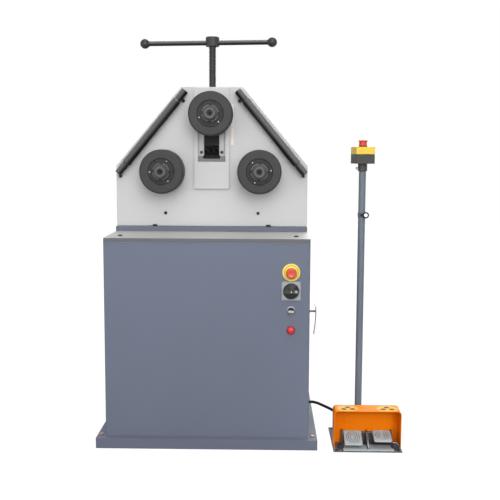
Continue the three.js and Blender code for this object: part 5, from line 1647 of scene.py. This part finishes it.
@dataclass(frozen=True)
class Drive(Assembly):
    """Bearings, gears, pinion, bearing plate, gearbox and motor.

    Args:
        gear_x: How far the lower shafts stand to the side.
        gear_z: Their height.
        motor: Where the motor's upright axis stands.
        ribs: How many ribs go round the motor.
        bare_ribs: Which of them are left out behind the terminal box.
        screw_circle: Radius of the circle of the gearbox screws.
    """

    gear_x: float = 175.0
    gear_z: float = 941.0
    motor: Pair = (63.0, 191.0)
    ribs: int = 30
    bare_ribs: tuple[int, ...] = (14, 15, 16)
    screw_circle: float = 45.0

    def build(self) -> None:
        """Makes the drive from the bearings back to the motor."""
        shop = self.shop
        for word, x in (("left", -self.gear_x), ("right", self.gear_x)):
            form = Form().turn([
                (20.5, -5), (41, -5), (42, -4), (42, 3), (31, 3), (31, 44), (30, 45), (20.5, 45)],
                (x, 0, self.gear_z), TO_BACK, 96, True)
            shop.fit(form.piece(f"{word}_bearing_piece", 0.5, 2), "root", IRON, f"{word}_bearing")
            shop.dress(f"{word}_gear", f"{word}_roll", GEAR_STEEL, 0.5, 2, 40)
        shop.dress("drive_pinion", "pinion", PINION_STEEL, 0.5, 2, 40)
        shop.dress("bearing_plate", "root", IRON, 1.2)
        shop.dress("gearbox", "root", CAST, 3.0, 3)
        self._gearbox_screws()
        self._motor()

    def _gearbox_screws(self) -> None:
        """Six screws round the rear end of the gearbox."""
        low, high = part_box("gearbox")
        x, z, y = (low.x + high.x) / (2 * MM), (low.z + high.z) / (2 * MM), high.y / MM
        spots, radius = [], self.screw_circle
        for k in range(6):
            angle = radians(60 * k + 30)
            spots.append(Spot((x + radius * cos(angle), y, z + radius * sin(angle)), FACE_BACK))
        self.shop.copies("gearbox_screws", self.shop.patterns.socket_screw, spots, "root", SCREW_BLACK)

    def _motor(self) -> None:
        """A ribbed body between its flange and its fan cover, with a terminal box."""
        x, y = self.motor
        form = Form().turn([
            (0, 610), (46, 610), (50, 611.5), (50, 613), (54, 613), (58.5, 616), (61, 622), (61, 655),
            (60, 656), (54.5, 656), (54.5, 850), (58, 853.7), (61, 853.7), (62, 854.7), (62, 864.7),
            (61, 865.7), (0, 865.7)], (x, y, 0), UPWARDS, STEPS)
        shop = self.shop
        shop.fit(form.piece("drive_motor_piece", 0.6, 2), "root", MOTOR_GREY, "drive_motor")
        rib = Form().box((53.5, -1.1, 664), (57.8, 1.1, 845.7)).piece("motor_rib_pattern", 0.5, 2)
        spots = [Spot((x, y, 0), (0, 0, 2 * pi * k / self.ribs))
                 for k in range(self.ribs) if k not in self.bare_ribs]
        shop.copies("motor_ribs", rib, spots, "root", MOTOR_GREY)
        bpy.data.objects.remove(rib)
        box = Form().box((-24.6, 161.2, 630.2), (12.8, 220.8, 699.8))
        shop.fit(box.piece("motor_terminal_box", 3.0, 3), "root", MOTOR_GREY)
        low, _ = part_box("drive_motor")
        lid = Form().box((low.x / MM + 0.2, 163.5, 632.5), (-24.4, 218.5, 697.5))
        shop.fit(lid.piece("motor_terminal_lid", 0.8, 2), "root", MOTOR_GREY)


@dataclass(frozen=True)
class SupportBar(Assembly):
    """A bar along one slope of the face: a turning sleeve between two end blocks.

    Args:
        word: Its word in the names of the nodes.
        side: -1 on the left and 1 on the right.
        half: Half its length.
        middle: Place of its middle, for the right bar.
        lean: How much of its direction goes inwards and upwards.
        block: Length of an end block.
        foot: Length, width and depth of the foot that holds it.
    """

    word: str
    side: int
    half: float = 193.5
    middle: Point = (217.04, -20.0, 1082.2)
    lean: Pair = (0.63627, 0.77147)
    block: float = 46.0
    foot: Point = (30.0, 18.0, 22.7)

    @property
    def centre(self) -> Point:
        """The middle of the bar."""
        x, y, z = self.middle
        return (self.side * x, y, z)

    @property
    def axis(self) -> Point:
        """Its direction from the lower end to the upper one."""
        inwards, upwards = self.lean
        return (-self.side * inwards, 0.0, upwards)

    def build(self) -> None:
        """Makes the spindle with its end blocks, the sleeve and the washer."""
        half, word, centre, axis = self.half, self.word, self.centre, self.axis
        form = Form().turn(
            [(0, -half + 30), (7.8, -half + 30), (7.8, half - 30), (0, half - 30)], centre, axis, 40)
        for end in (-1, 1):
            tip, root = end * half, end * (half - self.block)
            form.turn([
                (0, tip), (7.2, tip), (8.4, tip - end * 1.2), (12.3, tip - end * 0.2),
                (13.2, tip - end * 1.4), (13.2, root + end * 8), (12.4, root + end * 7.3),
                (12.4, root + end * 6), (13.2, root + end * 5.3), (13.2, root + end), (12.3, root),
                (0, root)], centre, axis, 64)
            form.extrude(self._foot(end * (half - self.block / 2)), (0, self.foot[2], 0))
        # The spindle and the sleeve take the bars' finish, which paints light on their upper faces and
        # shade on their lower ones.
        spindle = form.piece(f"{word}_bar_spindle_piece", 0.4, 2)
        self.shop.fit(spindle, "root", BAR_STEEL_LIT_AND_SHADED, f"{word}_bar_spindle")
        reach = half - self.block - 0.5
        sleeve = Form().turn([
            (8.4, 1 - reach), (14.2, 1 - reach), (15.3, 2 - reach), (15.3, reach - 1.2), (14.2, reach),
            (8.4, reach)], centre, axis, 96, True).piece(f"{word}_bar_sleeve_piece", 0.3, 2)
        self.shop.fit(sleeve, f"{word}_sleeve", BAR_STEEL_LIT_AND_SHADED, f"{word}_bar_sleeve")
        low, high = reach - 0.3, reach + 0.45
        ring = Form().turn([(8.6, low), (14.0, low), (14.0, high), (8.6, high)], centre, axis, 64, True)
        # The left washer is bright plating and the right one duller ground steel: a painted highlight on
        # the left one.
        finish = BRIGHT if word == "left" else GROUND
        self.shop.fit(ring.piece(f"{word}_bar_washer", 0.05, 2), "root", finish)

    def _foot(self, place: float) -> list[Point]:
        """The outline of an end block's foot, in the plane of the bar's axis.

        Args:
            place: Its place along the bar.

        Returns:
            Its corners in the frame.
        """
        length, width, _ = self.foot
        along = Vector(self.axis)
        across = Vector(TO_BACK).cross(along)
        return [tuple(Vector(self.centre) + along * (place + u) + across * v)
                for u, v in rounded_rectangle(length, width, 5)]


@dataclass(frozen=True)
class Controls(Assembly):
    """The four controls on the front of the cabinet.

    Args:
        x: Where they stand to the right.
        front: Where the sheet of the cabinet's front stands.
        stop_z: Height of the emergency stop.
        main_switch_z: Height of the main switch.
        selector_z: Height of the selector.
        lamp_z: Height of the pilot lamp.
    """

    x: float = 286.0
    front: float = -280.0
    stop_z: float = 609.0
    main_switch_z: float = 546.0
    selector_z: float = 479.0
    lamp_z: float = 411.0

    def build(self) -> None:
        """Makes the four controls from the top down."""
        self._stop()
        self._main_switch()
        self._selector()
        self._lamp()

    def _at(self, z: float) -> Point:
        """The middle of a control on the sheet."""
        return (self.x, self.front, z)

    def _outline(
        self, points: Sequence[Pair], z: float, depth: float = 0.0, share: float = 1.0
    ) -> list[Point]:
        """An outline round a control's middle.

        Args:
            points: Its corners, to the right and upwards.
            z: Height of the middle.
            depth: How far in front of the sheet it lies.
            share: How much of its size is taken.

        Returns:
            Its corners in the frame.
        """
        return [(self.x + share * u, self.front - depth, z + share * v) for u, v in points]

    def _block(self, name: str, *place: float) -> None:
        """Makes a barrel and its block, placed as _barrel says, as one black piece."""
        self.shop.fit(self._barrel(Form(), *place).piece(name, 1.0, 2), "root", BLACK_PLASTIC)

    def _barrel(self, form: Form, z: float, half: float = 20.0, depth: float = 45.0) -> Form:
        """The barrel through the sheet and the contact block behind it.

        Args:
            form: What they are added to.
            z: Height of the control.
            half: Half the width of the block.
            depth: Its depth.

        Returns:
            The same form.
        """
        form.turn([(5.6, -13.5), (10.8, -13.5), (10.8, 0.5), (5.6, 0.5)], self._at(z), TO_FRONT, 40, True)
        y = self.front + 13
        return form.box((self.x - half, y, z - half), (self.x + half, y + depth, z + half))

    def _stop(self) -> None:
        """The emergency stop: a mushroom button on a round yellow legend."""
        shop, z = self.shop, self.stop_z
        at = self._at(z)
        form = Form().turn([
            (5.4, 0.2), (29.4, 0.2), (30, 0.8), (30, 1.4), (29.4, 2), (20.5, 2), (19.5, 2.6), (15.4, 3.2),
            (14, 4.2), (14, 9.2), (13.2, 10), (5.4, 10)], at, TO_FRONT, 96, True)
        shop.fit(form.piece("stop_legend", 0.25, 2), "root", LEGEND_YELLOW, "stop_switch_body")
        band = Form().turn([(20.8, 1.9), (25.6, 1.9), (25.6, 2.3), (20.8, 2.3)], at, TO_FRONT, 96, True)
        shop.fit(band.piece("stop_legend_band", 0.1, 2), "root", LEGEND_DEEP)
        self._block("stop_switch_block", z)
        button = Form().turn([
            (0, 24.6), (5, 24.6), (9, 24.9), (11.4, 25.9), (13, 26.2), (14.6, 25.6), (16.2, 23.6),
            (17.8, 21), (18.5, 19), (18.3, 17.4), (17, 16.1), (14.6, 15.3), (5, 15.3), (5, -7.4),
            (0, -7.4)], at, TO_FRONT, 96)
        shop.fit(button.piece("stop_button_piece", 0.4, 2, 50), "stop_button", RED, "stop_button")

    def _main_switch(self) -> None:
        """The main switch: a rotary knob with a raised grip on a square plate."""
        shop, z = self.shop, self.main_switch_z
        at = self._at(z)
        form = Form()
        form.extrude(self._outline(rounded_rectangle(64, 64, 4), z), (0, -4, 0))
        form.extrude(self._outline(rounded_rectangle(60, 60, 3), z, 3.8), (0, -0.7, 0))
        shop.fit(form.piece("main_switch_plate_piece", 0.7), "root", GREY_PLASTIC, "main_switch_plate")
        self._block("main_switch_block", z, 24.0, 62.0)
        corners = [Spot((self.x + sx * 27, self.front - 4.4, z + sz * 27), FACE_FRONT)
                   for sx in (-1, 1) for sz in (-1, 1)]
        shop.copies("main_switch_screws", shop.patterns.dome_screw, corners, "root", GREY_PLASTIC, 0.6)
        knob = Form().turn([
            (0, 4.6), (26.4, 4.6), (27, 5.2), (27, 9), (26, 11), (24.4, 12), (7, 20.5), (0, 20.5),
        ], at, TO_FRONT, 96)
        handle = rounded_rectangle(52, 13, 6, 8)
        grip = [self._outline(handle, z, depth, share)
                for share, depth in ((1, 9.6), (0.97, 22), (0.9, 25.6), (0.82, 26.2))]
        # The grip is painted lighter than the knob as a highlight.
        shop.fit(Form().loft(grip).piece("main_switch_grip", 1.6), "main_switch", GRIP_HIGHLIGHT_BLACK)
        knob.turn([(0, 5), (4.8, 5), (4.8, -12.4), (0, -12.4)], at, TO_FRONT, 32)
        shop.fit(knob.piece("main_switch_knob_piece", 1.6), "main_switch", KNOB_BLACK, "main_switch_knob")
        self._main_switch_trim()

    def _main_switch_trim(self) -> None:
        """The screw in the middle of the grip and the lock's tab beside it."""
        z = self.main_switch_z
        place = Matrix.Translation(Vector((self.x, self.front - 25.8, z)) * MM)
        screw = Form().loft([ring_points(2.2, -0.6), ring_points(2.2, 0.1), ring_points(1.7, 0.5)])
        screw.move(place @ Matrix.Rotation(QUARTER, 4, "X"))
        self.shop.fit(screw.piece("main_switch_centre_screw", 0.15, 2), "main_switch", BRIGHT)
        tab = Form().extrude([
            (self.x + 16.2 + u, self.front - 25.4, z + 1 + v) for u, v in rounded_rectangle(8.6, 8.8, 3.4)
        ], (0, -0.9, 0))
        self.shop.fit(tab.piece("main_switch_lock_tab", 0.3, 2), "main_switch", GREY_PLASTIC)

    def _selector(self) -> None:
        """The selector: a round bezel and a disc with a pale grip."""
        shop, z = self.shop, self.selector_z
        at = self._at(z)
        bezel = Form().turn([
            (5.4, 0.1), (14.5, 0.1), (14.5, 3.2), (13.9, 5), (12.6, 6), (11.2, 5.9), (10.7, 5), (10.7, 2),
            (5.4, 2)], at, TO_FRONT, 96, True)
        # The bezel's finish paints shade on its lower faces.
        shop.fit(bezel.piece("selector_bezel", 0.25, 2), "root", SHADED_BEZEL, "selector_body")
        self._block("selector_block", z)
        disc = Form().turn([
            (0, -11.7), (4.8, -11.7), (4.8, 2.3), (10.2, 2.3), (10.2, 5.6), (9.8, 6), (0, 6),
        ], at, TO_FRONT, 64)
        shop.fit(disc.piece("selector_disc", 0.3, 2), "selector", BLACK_PLASTIC, "selector_knob")
        foot = self._outline(rounded_rectangle(19, 6.6, 2.4), z - 2, 5.6)
        top = self._outline(rounded_rectangle(18.6, 6, 2.4), z - 2, 15.8)
        shop.fit(Form().loft([foot, top]).piece("selector_grip", 0.6, 2), "selector", PALE_PLASTIC)

    def _lamp(self) -> None:
        """The pilot lamp: a red lens in a darker red rim."""
        shop, z = self.shop, self.lamp_z
        at = self._at(z)
        radius, foot, height = 12.5, 5.0, 7.9
        lens = [(0, 1), (12.4, 1), (radius, foot)]
        lens += [(radius * cos(a), foot + height * sin(a))
                 for a in (radians(9 * k) for k in range(1, 10))]
        lens.append((0, 12.95))
        shop.fit(Form().turn(lens, at, TO_FRONT, 96).piece("pilot_lens", 0.2, 2, 50), "root", LAMP_RED)
        rim = Form().turn([
            (12.2, 0.1), (14.5, 0.1), (14.5, 3.6), (13.9, 4.8), (12.9, 5.2), (12.2, 4.6),
        ], at, TO_FRONT, 96, True)
        self._barrel(rim, z)
        shop.fit(rim.piece("pilot_lamp_rim", 0.25, 2), "root", LAMP_RIM, "pilot_lamp")


@dataclass(frozen=True)
class PedalUnit(Assembly):
    """Floor plate, hood, cast frame and the two pedals.

    Args:
        middle: Where the frame's middle stands to the right.
        pin: How far back and how high the pedals' pin lies.
        hood_rise: How much higher the hood's top lies than in the solids.
        hood_top: Height of the hood's top before that, as its discs meet it.
        disc_places: Where the yellow discs stand to the right.
        plate_floor: Top of the floor plate.
        tread: Width and length of a pedal.
        rib: Section of a raised oval on it.
        groove_edge: Section of the darker oval between two of those, painted shade in the groove.
        left_guard: Line of the left guard, to the right and upwards.
        right_guard: Line of the right guard.
        guard_front: Where the guards begin.
    """

    middle: float = 554.0
    pin: Pair = (-238.0, 42.0)
    hood_rise: float = 3.8
    hood_top: float = 132.9
    disc_places: Pair = (485.5, 620.0)
    plate_floor: float = 3.0
    tread: Pair = (61.4, 73.6)
    rib: tuple[Pair, ...] = ((-1.6, 4.4), (-0.8, 6.2), (0.8, 6.2), (1.6, 4.4))
    groove_edge: tuple[Pair, ...] = ((-1, 4.5), (-1, 5.1), (1, 5.1), (1, 4.5))
    left_guard: tuple[Pair, ...] = (
        (463, 15), (459, 16), (455.5, 15.5), (452.8, 13), (451.2, 10), (450.6, 6.4),
    )
    right_guard: tuple[Pair, ...] = (
        (637.5, 31), (643, 31.2), (649, 29.9), (654, 26), (657.5, 20), (659.3, 12.8), (660, 6.4),
    )
    guard_front: float = -307.0

    def build(self) -> None:
        """Makes the unit from its floor plate up."""
        shop = self.shop
        # The floor plate's finish paints shade on its edges.
        shop.dress("stand_floor_plate", "root", FLOOR_IRON, 0.7, 2)
        # The hood's finish paints light on its top and shade on its walls.
        hood = Form.of_node("pedal_hood").shift(lambda place: place.z > 100, (0, 0, self.hood_rise))
        shop.fit(hood.piece("pedal_hood_piece", 0.8, 2, 25), "root", ORANGE, "pedal_hood")
        # The frame takes a darker copy of the cast aluminium as painted shade.
        shop.dress("pedal_frame", "root", FRAME_SHADE_CAST, 0.7, 2)
        pin = Form().turn([(0, -88), (3.2, -88), (3.9, -87), (3.9, 87), (3.2, 88), (0, 88)],
                          (self.middle, *self.pin), TO_RIGHT, 32)
        shop.fit(pin.piece("pedal_pin_piece", 0.3, 2), "root", GROUND, "pedal_pin")
        self._frame_trim()
        self._pedal("left", self.middle - 50, 22.5, 5.0)
        self._pedal("right", self.middle + 50, 12.5, 6.0)
        self._stickers()
        self._guards()
        self._feet()

    def _frame_trim(self) -> None:
        """The pale front edge, divider and floor sheets of the frame, and its back plate, dark with painted
        shade.
        """
        section = ((-319.5, 3.1), (-319.5, 7.6), (-303, 7.6), (-303, 6.1), (-316.2, 6.1), (-316.2, 3.1))
        form = Form().extrude([(468, y, z) for y, z in section], (172, 0, 0))
        self.shop.fit(form.piece("frame_front_strip", 0.5, 2), "root", CAST)
        rib = Form().extrude([
            (551.6, -315.5, 9.2), (551.6, -247, 46.5), (551.6, -247, 48.4), (551.6, -315.9, 15),
        ], (4.8, 0, 0))
        self.shop.fit(rib.piece("frame_divider_edge", 0.3, 2), "root", GREY_PLASTIC)
        for word, x0, x1 in (("left", 473.0, 551.0), ("right", 557.0, 635.0)):
            sheet = Form().box((x0, -303.0, 5.9), (x1, -262.0, 6.5))
            self.shop.fit(sheet.piece(f"frame_{word}_sheet", 0.2, 2), "root", CAST)
        # The back plate is dark with painted shade.
        back = Form().box((472.2, -230.6, 6.1), (635.8, -229.1, 41))
        self.shop.fit(back.piece("frame_back_plate", 0.4, 2), "root", FRAME_SHADE_CAST)

    def _pedal(self, word: str, x: float, tilt: float, rise: float) -> None:
        """A cast tread with nested raised ovals, hung on the pin.

        Args:
            word: Its word in the names of the nodes.
            x: Where its middle stands to the right.
            tilt: How far its front end hangs down in degrees.
            rise: How high the underside of the tread lies above the pin's line.
        """
        form = Form()
        edge = rounded_rectangle(*self.tread, 5.5, 8)
        form.loft([[(u * share, -37 + v * share, rise + z) for u, v in edge]
                   for share, z in ((1, 0), (1, 2.9), (0.985, 4), (0.955, 4.8))])
        form.turn([(4.6, -31), (6.8, -31), (6.8, 31), (4.6, 31)], (0, 0, 0), TO_RIGHT, 40, True)
        for reach_x, reach_y in ((25.5, 31.5), (19, 25), (12.5, 18), (6, 11)):
            form.loft(self._oval(reach_x, reach_y, rise, self.rib), None, True)
        pin = Matrix.Translation(Vector((x, *self.pin)) * MM)
        place = pin @ Matrix.Rotation(radians(tilt), 4, "X")
        form.move(place)
        piece = form.piece(f"{word}_pedal_piece", 0.5, 2, 30)
        self.shop.fit(piece, f"{word}_pedal", CAST, f"{word}_pedal")
        # Darker ovals between the ribs: painted shade in the grooves.
        grooves = Form()
        for reach_x, reach_y in ((22.2, 28.2), (15.7, 21.5), (9.2, 14.5)):
            grooves.loft(self._oval(reach_x, reach_y, rise, self.groove_edge), None, True)
        grooves.move(place)
        self.shop.fit(grooves.piece(f"{word}_pedal_grooves", 0.1, 2), f"{word}_pedal", GROOVE_SHADE)

    @staticmethod
    def _oval(reach_x: float, reach_y: float, rise: float, section: Sequence[Pair]) -> list[list[Point]]:
        """Sections of a rib along an oval on the tread.

        Args:
            reach_x: Half the oval's width.
            reach_y: Half its length.
            rise: How high the underside of the tread lies above the pin's line.
            section: Corners of the rib, outwards and upwards.

        Returns:
            One ring of corners per step round the oval.
        """
        rings, steps = [], 48
        for k in range(steps):
            angle = 2 * pi * k / steps
            c, s = cos(angle), sin(angle)
            rings.append([((reach_x + out) * c, (reach_y + out) * s - 37, rise + z) for out, z in section])
        return rings

    def _stickers(self) -> None:
        """Yellow discs on the hood, each with three dark caps."""
        shop, caps = self.shop, []
        top = self.hood_top + self.hood_rise
        circle = [2 * pi * k / 64 for k in range(64)]
        for name, x in zip(("left", "right"), self.disc_places):
            oval = [(x + 37 * cos(a), -268 + 32 * sin(a), top) for a in circle]
            disc = Form().extrude(oval, (0, 0, 0.35)).piece(f"hood_{name}_disc", 0.12, 2)
            shop.fit(disc, "root", STICKER)
            caps += [Spot((x + 17 * cos(a), -270 + 14 * sin(a), top + 0.3))
                     for a in (radians(degrees) for degrees in (90, 210, 330))]
        cap = Form().turn([(0, -0.2), (9.6, -0.2), (9.6, 0.2), (9.2, 0.4), (0, 0.4)],
                          (0, 0, 0), UPWARDS, 40)
        pattern = cap.piece("hood_cap_pattern", 0.1, 2)
        shop.copies("hood_caps", pattern, caps, "root", STICKER_DARK)
        bpy.data.objects.remove(pattern)

    def _guards(self) -> None:
        """The dark bent guards between the frame and the walls of the hood, their dark colour partly
        painted shade beside the pedals.
        """
        front = self.guard_front
        for word, line, depth in (("left", self.left_guard, 30.0), ("right", self.right_guard, 14.0)):
            rear = depth + front
            guard = Form().loft([
                [(x, front, z), (x, rear, z), (x, rear, z - 1.6), (x, front, z - 1.6)] for x, z in line])
            corner = [(x, front + 3.0, z - 0.8) for x, z in line]
            guard.extrude([*corner, (line[0][0], front + 3.0, 6.2)], (0, 1.6, 0))
            self.shop.fit(guard.piece(f"{word}_guard", 0.4, 2, 60), "root", GUARD_SHADE_DARK)
        # A pale strip on the right guard's top edge: a painted highlight.
        edge = Form().loft([[
            (x, front - 1.0, z - 1.4), (x, front - 1.0, z + 0.4), (x, front + 1.4, z + 0.4),
            (x, front + 1.4, z - 1.4)] for x, z in self.right_guard])
        self.shop.fit(edge.piece("right_guard_edge", 0.2, 2, 60), "root", CAST)

    def _feet(self) -> None:
        """Screws in the corners of the floor plate."""
        spots = [Spot((x, y, self.plate_floor)) for x in (446, 656) for y in (-312, -80)]
        screw = self.shop.patterns.dome_screw
        self.shop.copies("stand_plate_screws", screw, spots, "root", SCREW_BLACK, 1.3)


@dataclass(frozen=True)
class StopStand(Assembly):
    """Pole with its foot and clip, and the stop box on top.

    Args:
        axis: Where the pole stands.
        clip_z: Height of the clip's middle.
        eye_reach: How far to the right of the pole the clip's eye lies.
        box_turn: How far the stop box is turned on the pole.
        box_rise: How much higher the box's upper parts lie than in the solids.
        base_split: Height above which its base takes part in that.
        screw_z: Height of the screw in the box's socket.
    """

    axis: Pair = (537.0, -115.0)
    clip_z: float = 793.0
    eye_reach: float = 12.5
    box_turn: float = 12.0
    box_rise: float = 2.8
    base_split: float = 990.0
    screw_z: float = 957.0

    def build(self) -> None:
        """Makes the pole, the clip and the box."""
        pole = Form().turn([
            (9.4, 3), (26, 3), (26, 6.6), (24.6, 8), (14.6, 8), (13, 9.4), (12.4, 11.5), (12.4, 944.6),
            (11.4, 945.4), (11.4, 961.2), (10.8, 962), (9.4, 962)], (*self.axis, 0), UPWARDS, 72, True)
        self.shop.fit(pole.piece("stand_pole_piece", 0.4, 2), "root", POLE_BLUE, "stand_pole")
        self._clip()
        self._box()
        self._box_trim()

    def _clip(self) -> None:
        """A strap round the pole that widens into a flat eye with a bright screw."""
        (x, y), z = self.axis, self.clip_z
        band = Form().turn([
            (12.6, z - 8.4), (13.6, z - 8.4), (14.0, z - 8.0), (14.0, z + 8.0), (13.6, z + 8.4),
            (12.6, z + 8.4)], (x, y, 0), UPWARDS, 64, True)
        self.shop.fit(band.piece("pole_clip_band", 0.3, 2), "root", CLIP_BLUE)
        form, rings = Form(), []
        for share in (0.0, 0.25, 0.5, 0.75, 1.0):
            px = x - 6.0 + share * 18.5
            half = 4.0 + 3.4 * share
            front = y - 14.4 - 6.0 * share ** 0.8
            rings.append([
                (px, front, z - half), (px, front, z + half), (px, front + 3.2, z + half),
                (px, front + 3.2, z - half)])
        form.loft(rings)
        eye = (x + self.eye_reach, 0, z)
        form.turn([(5, 129.6), (10.6, 129.6), (11.4, 130.4), (11.4, 134.6), (10.6, 135.4), (5, 135.4)],
                  eye, TO_FRONT, 64, True)
        self.shop.fit(form.piece("pole_clip_piece", 0.4, 2), "root", SCREW_BLACK, "pole_clip")
        screw = Form().turn([
            (0, 129), (6.2, 129), (6.4, 135.4), (6.4, 136.8), (5.4, 137.7), (3, 137.7), (2.6, 136.6),
            (0, 136.6)], eye, TO_FRONT, 48)
        self.shop.fit(screw.piece("pole_clip_screw", 0.3, 2), "root", BRIGHT)

    def _box(self) -> None:
        """The stop box with its button, its upper parts as high as in the photograph."""
        shop, rise = self.shop, self.box_rise
        for node, finish, bevel, split in (
            ("box_base", BOX_BLACK, 1.4, self.base_split), ("box_cover", YELLOW, 2.2, 0.0),
        ):
            form = Form.of_node(node).shift(lambda place: place.z > split, (0, 0, rise))
            shop.fit(form.piece(f"{node}_piece", bevel, 3), "root", finish, node)
        top = (*self.axis, rise)
        button = Form().turn([
            (0, 1016.3), (5.9, 1016.3), (5.9, 1032.6), (13.2, 1032.6), (13.7, 1033.4), (13.7, 1045.8),
            (14.6, 1046.8), (16.6, 1047.6), (17, 1048.4), (17, 1050.2), (15.8, 1051.6), (12.6, 1052.2),
            (0, 1052.3)], top, UPWARDS, 80)
        piece = button.piece("box_stop_button_piece", 0.4, 2, 50)
        shop.fit(piece, "box_button", BOX_RED, "box_stop_button")
        # A dark brown collar under the button: a painted shadow.
        collar = Form().turn([(14, 1028.2), (14.9, 1028.2), (14.5, 1032.8), (14, 1033.2)],
                             top, UPWARDS, 64, True)
        shop.fit(collar.piece("box_button_collar", 0.2, 2), "root", COLLAR_SHADOW_BROWN)

    def _box_trim(self) -> None:
        """Screws of the cover, and the sleeve and screw of the socket."""
        shop = self.shop
        (x, y), angle = self.axis, radians(self.box_turn)
        place = Matrix.Translation(Vector((x, y, 0)) * MM) @ Matrix.Rotation(angle, 4, "Z")
        corners = [place @ (Vector((sx * 27, sy * 27, 1027.2 + self.box_rise)) * MM) / MM
                   for sx in (-1, 1) for sy in (-1, 1)]
        shop.copies("box_cover_screws", shop.patterns.dome_screw, [Spot(tuple(p)) for p in corners],
                    "root", YELLOW, 0.75)
        sleeve = Form().turn([(14.1, 946.6), (15.6, 946.6), (16.2, 947.6), (16.2, 972.2), (14.1, 972.6)],
                             (x, y, 0), UPWARDS, 72, True)
        shop.fit(sleeve.piece("box_socket_sleeve", 0.4, 2), "root", BOX_BLACK)
        screw = Form().turn([
            (0, 15), (2.6, 15), (2.6, 18.5), (4.6, 19), (4.6, 22), (3, 24.4), (0, 24.8),
        ], (x, y, self.screw_z), (-cos(angle), -sin(angle), 0.0), 32)
        shop.fit(screw.piece("box_socket_screw", 0.3, 2), "root", PIN_STEEL)


ROLLS = (
    ("upper", 0, 1146.5, 66, (200, 315), (135, 70, 20)),
    ("left", -175, 941, 158, (62, 182, 305), (2, 122, 242)),
    ("right", 175, 941, 158, (7, 127, 247), (67, 187, 307)),
)


def main() -> None:
    """Builds the picture."""
    logging.basicConfig(level=logging.INFO)
    Viewpoint().set_up()
    shop = Workshop()
    PedalCable(shop).build()
    Studio().build()
    assemblies: list[Assembly] = [
        Cabinet(shop), Head(shop), Slide(shop), *(Roll(shop, *roll) for roll in ROLLS), Drive(shop),
        SupportBar(shop, "left", -1), SupportBar(shop, "right", 1), Controls(shop), PedalUnit(shop),
        StopStand(shop),
    ]
    for assembly in assemblies:
        LOG.info("building %s", type(assembly).__name__)
        assembly.build()
    shop.patterns.remove()


if __name__ == "__main__":
    main()
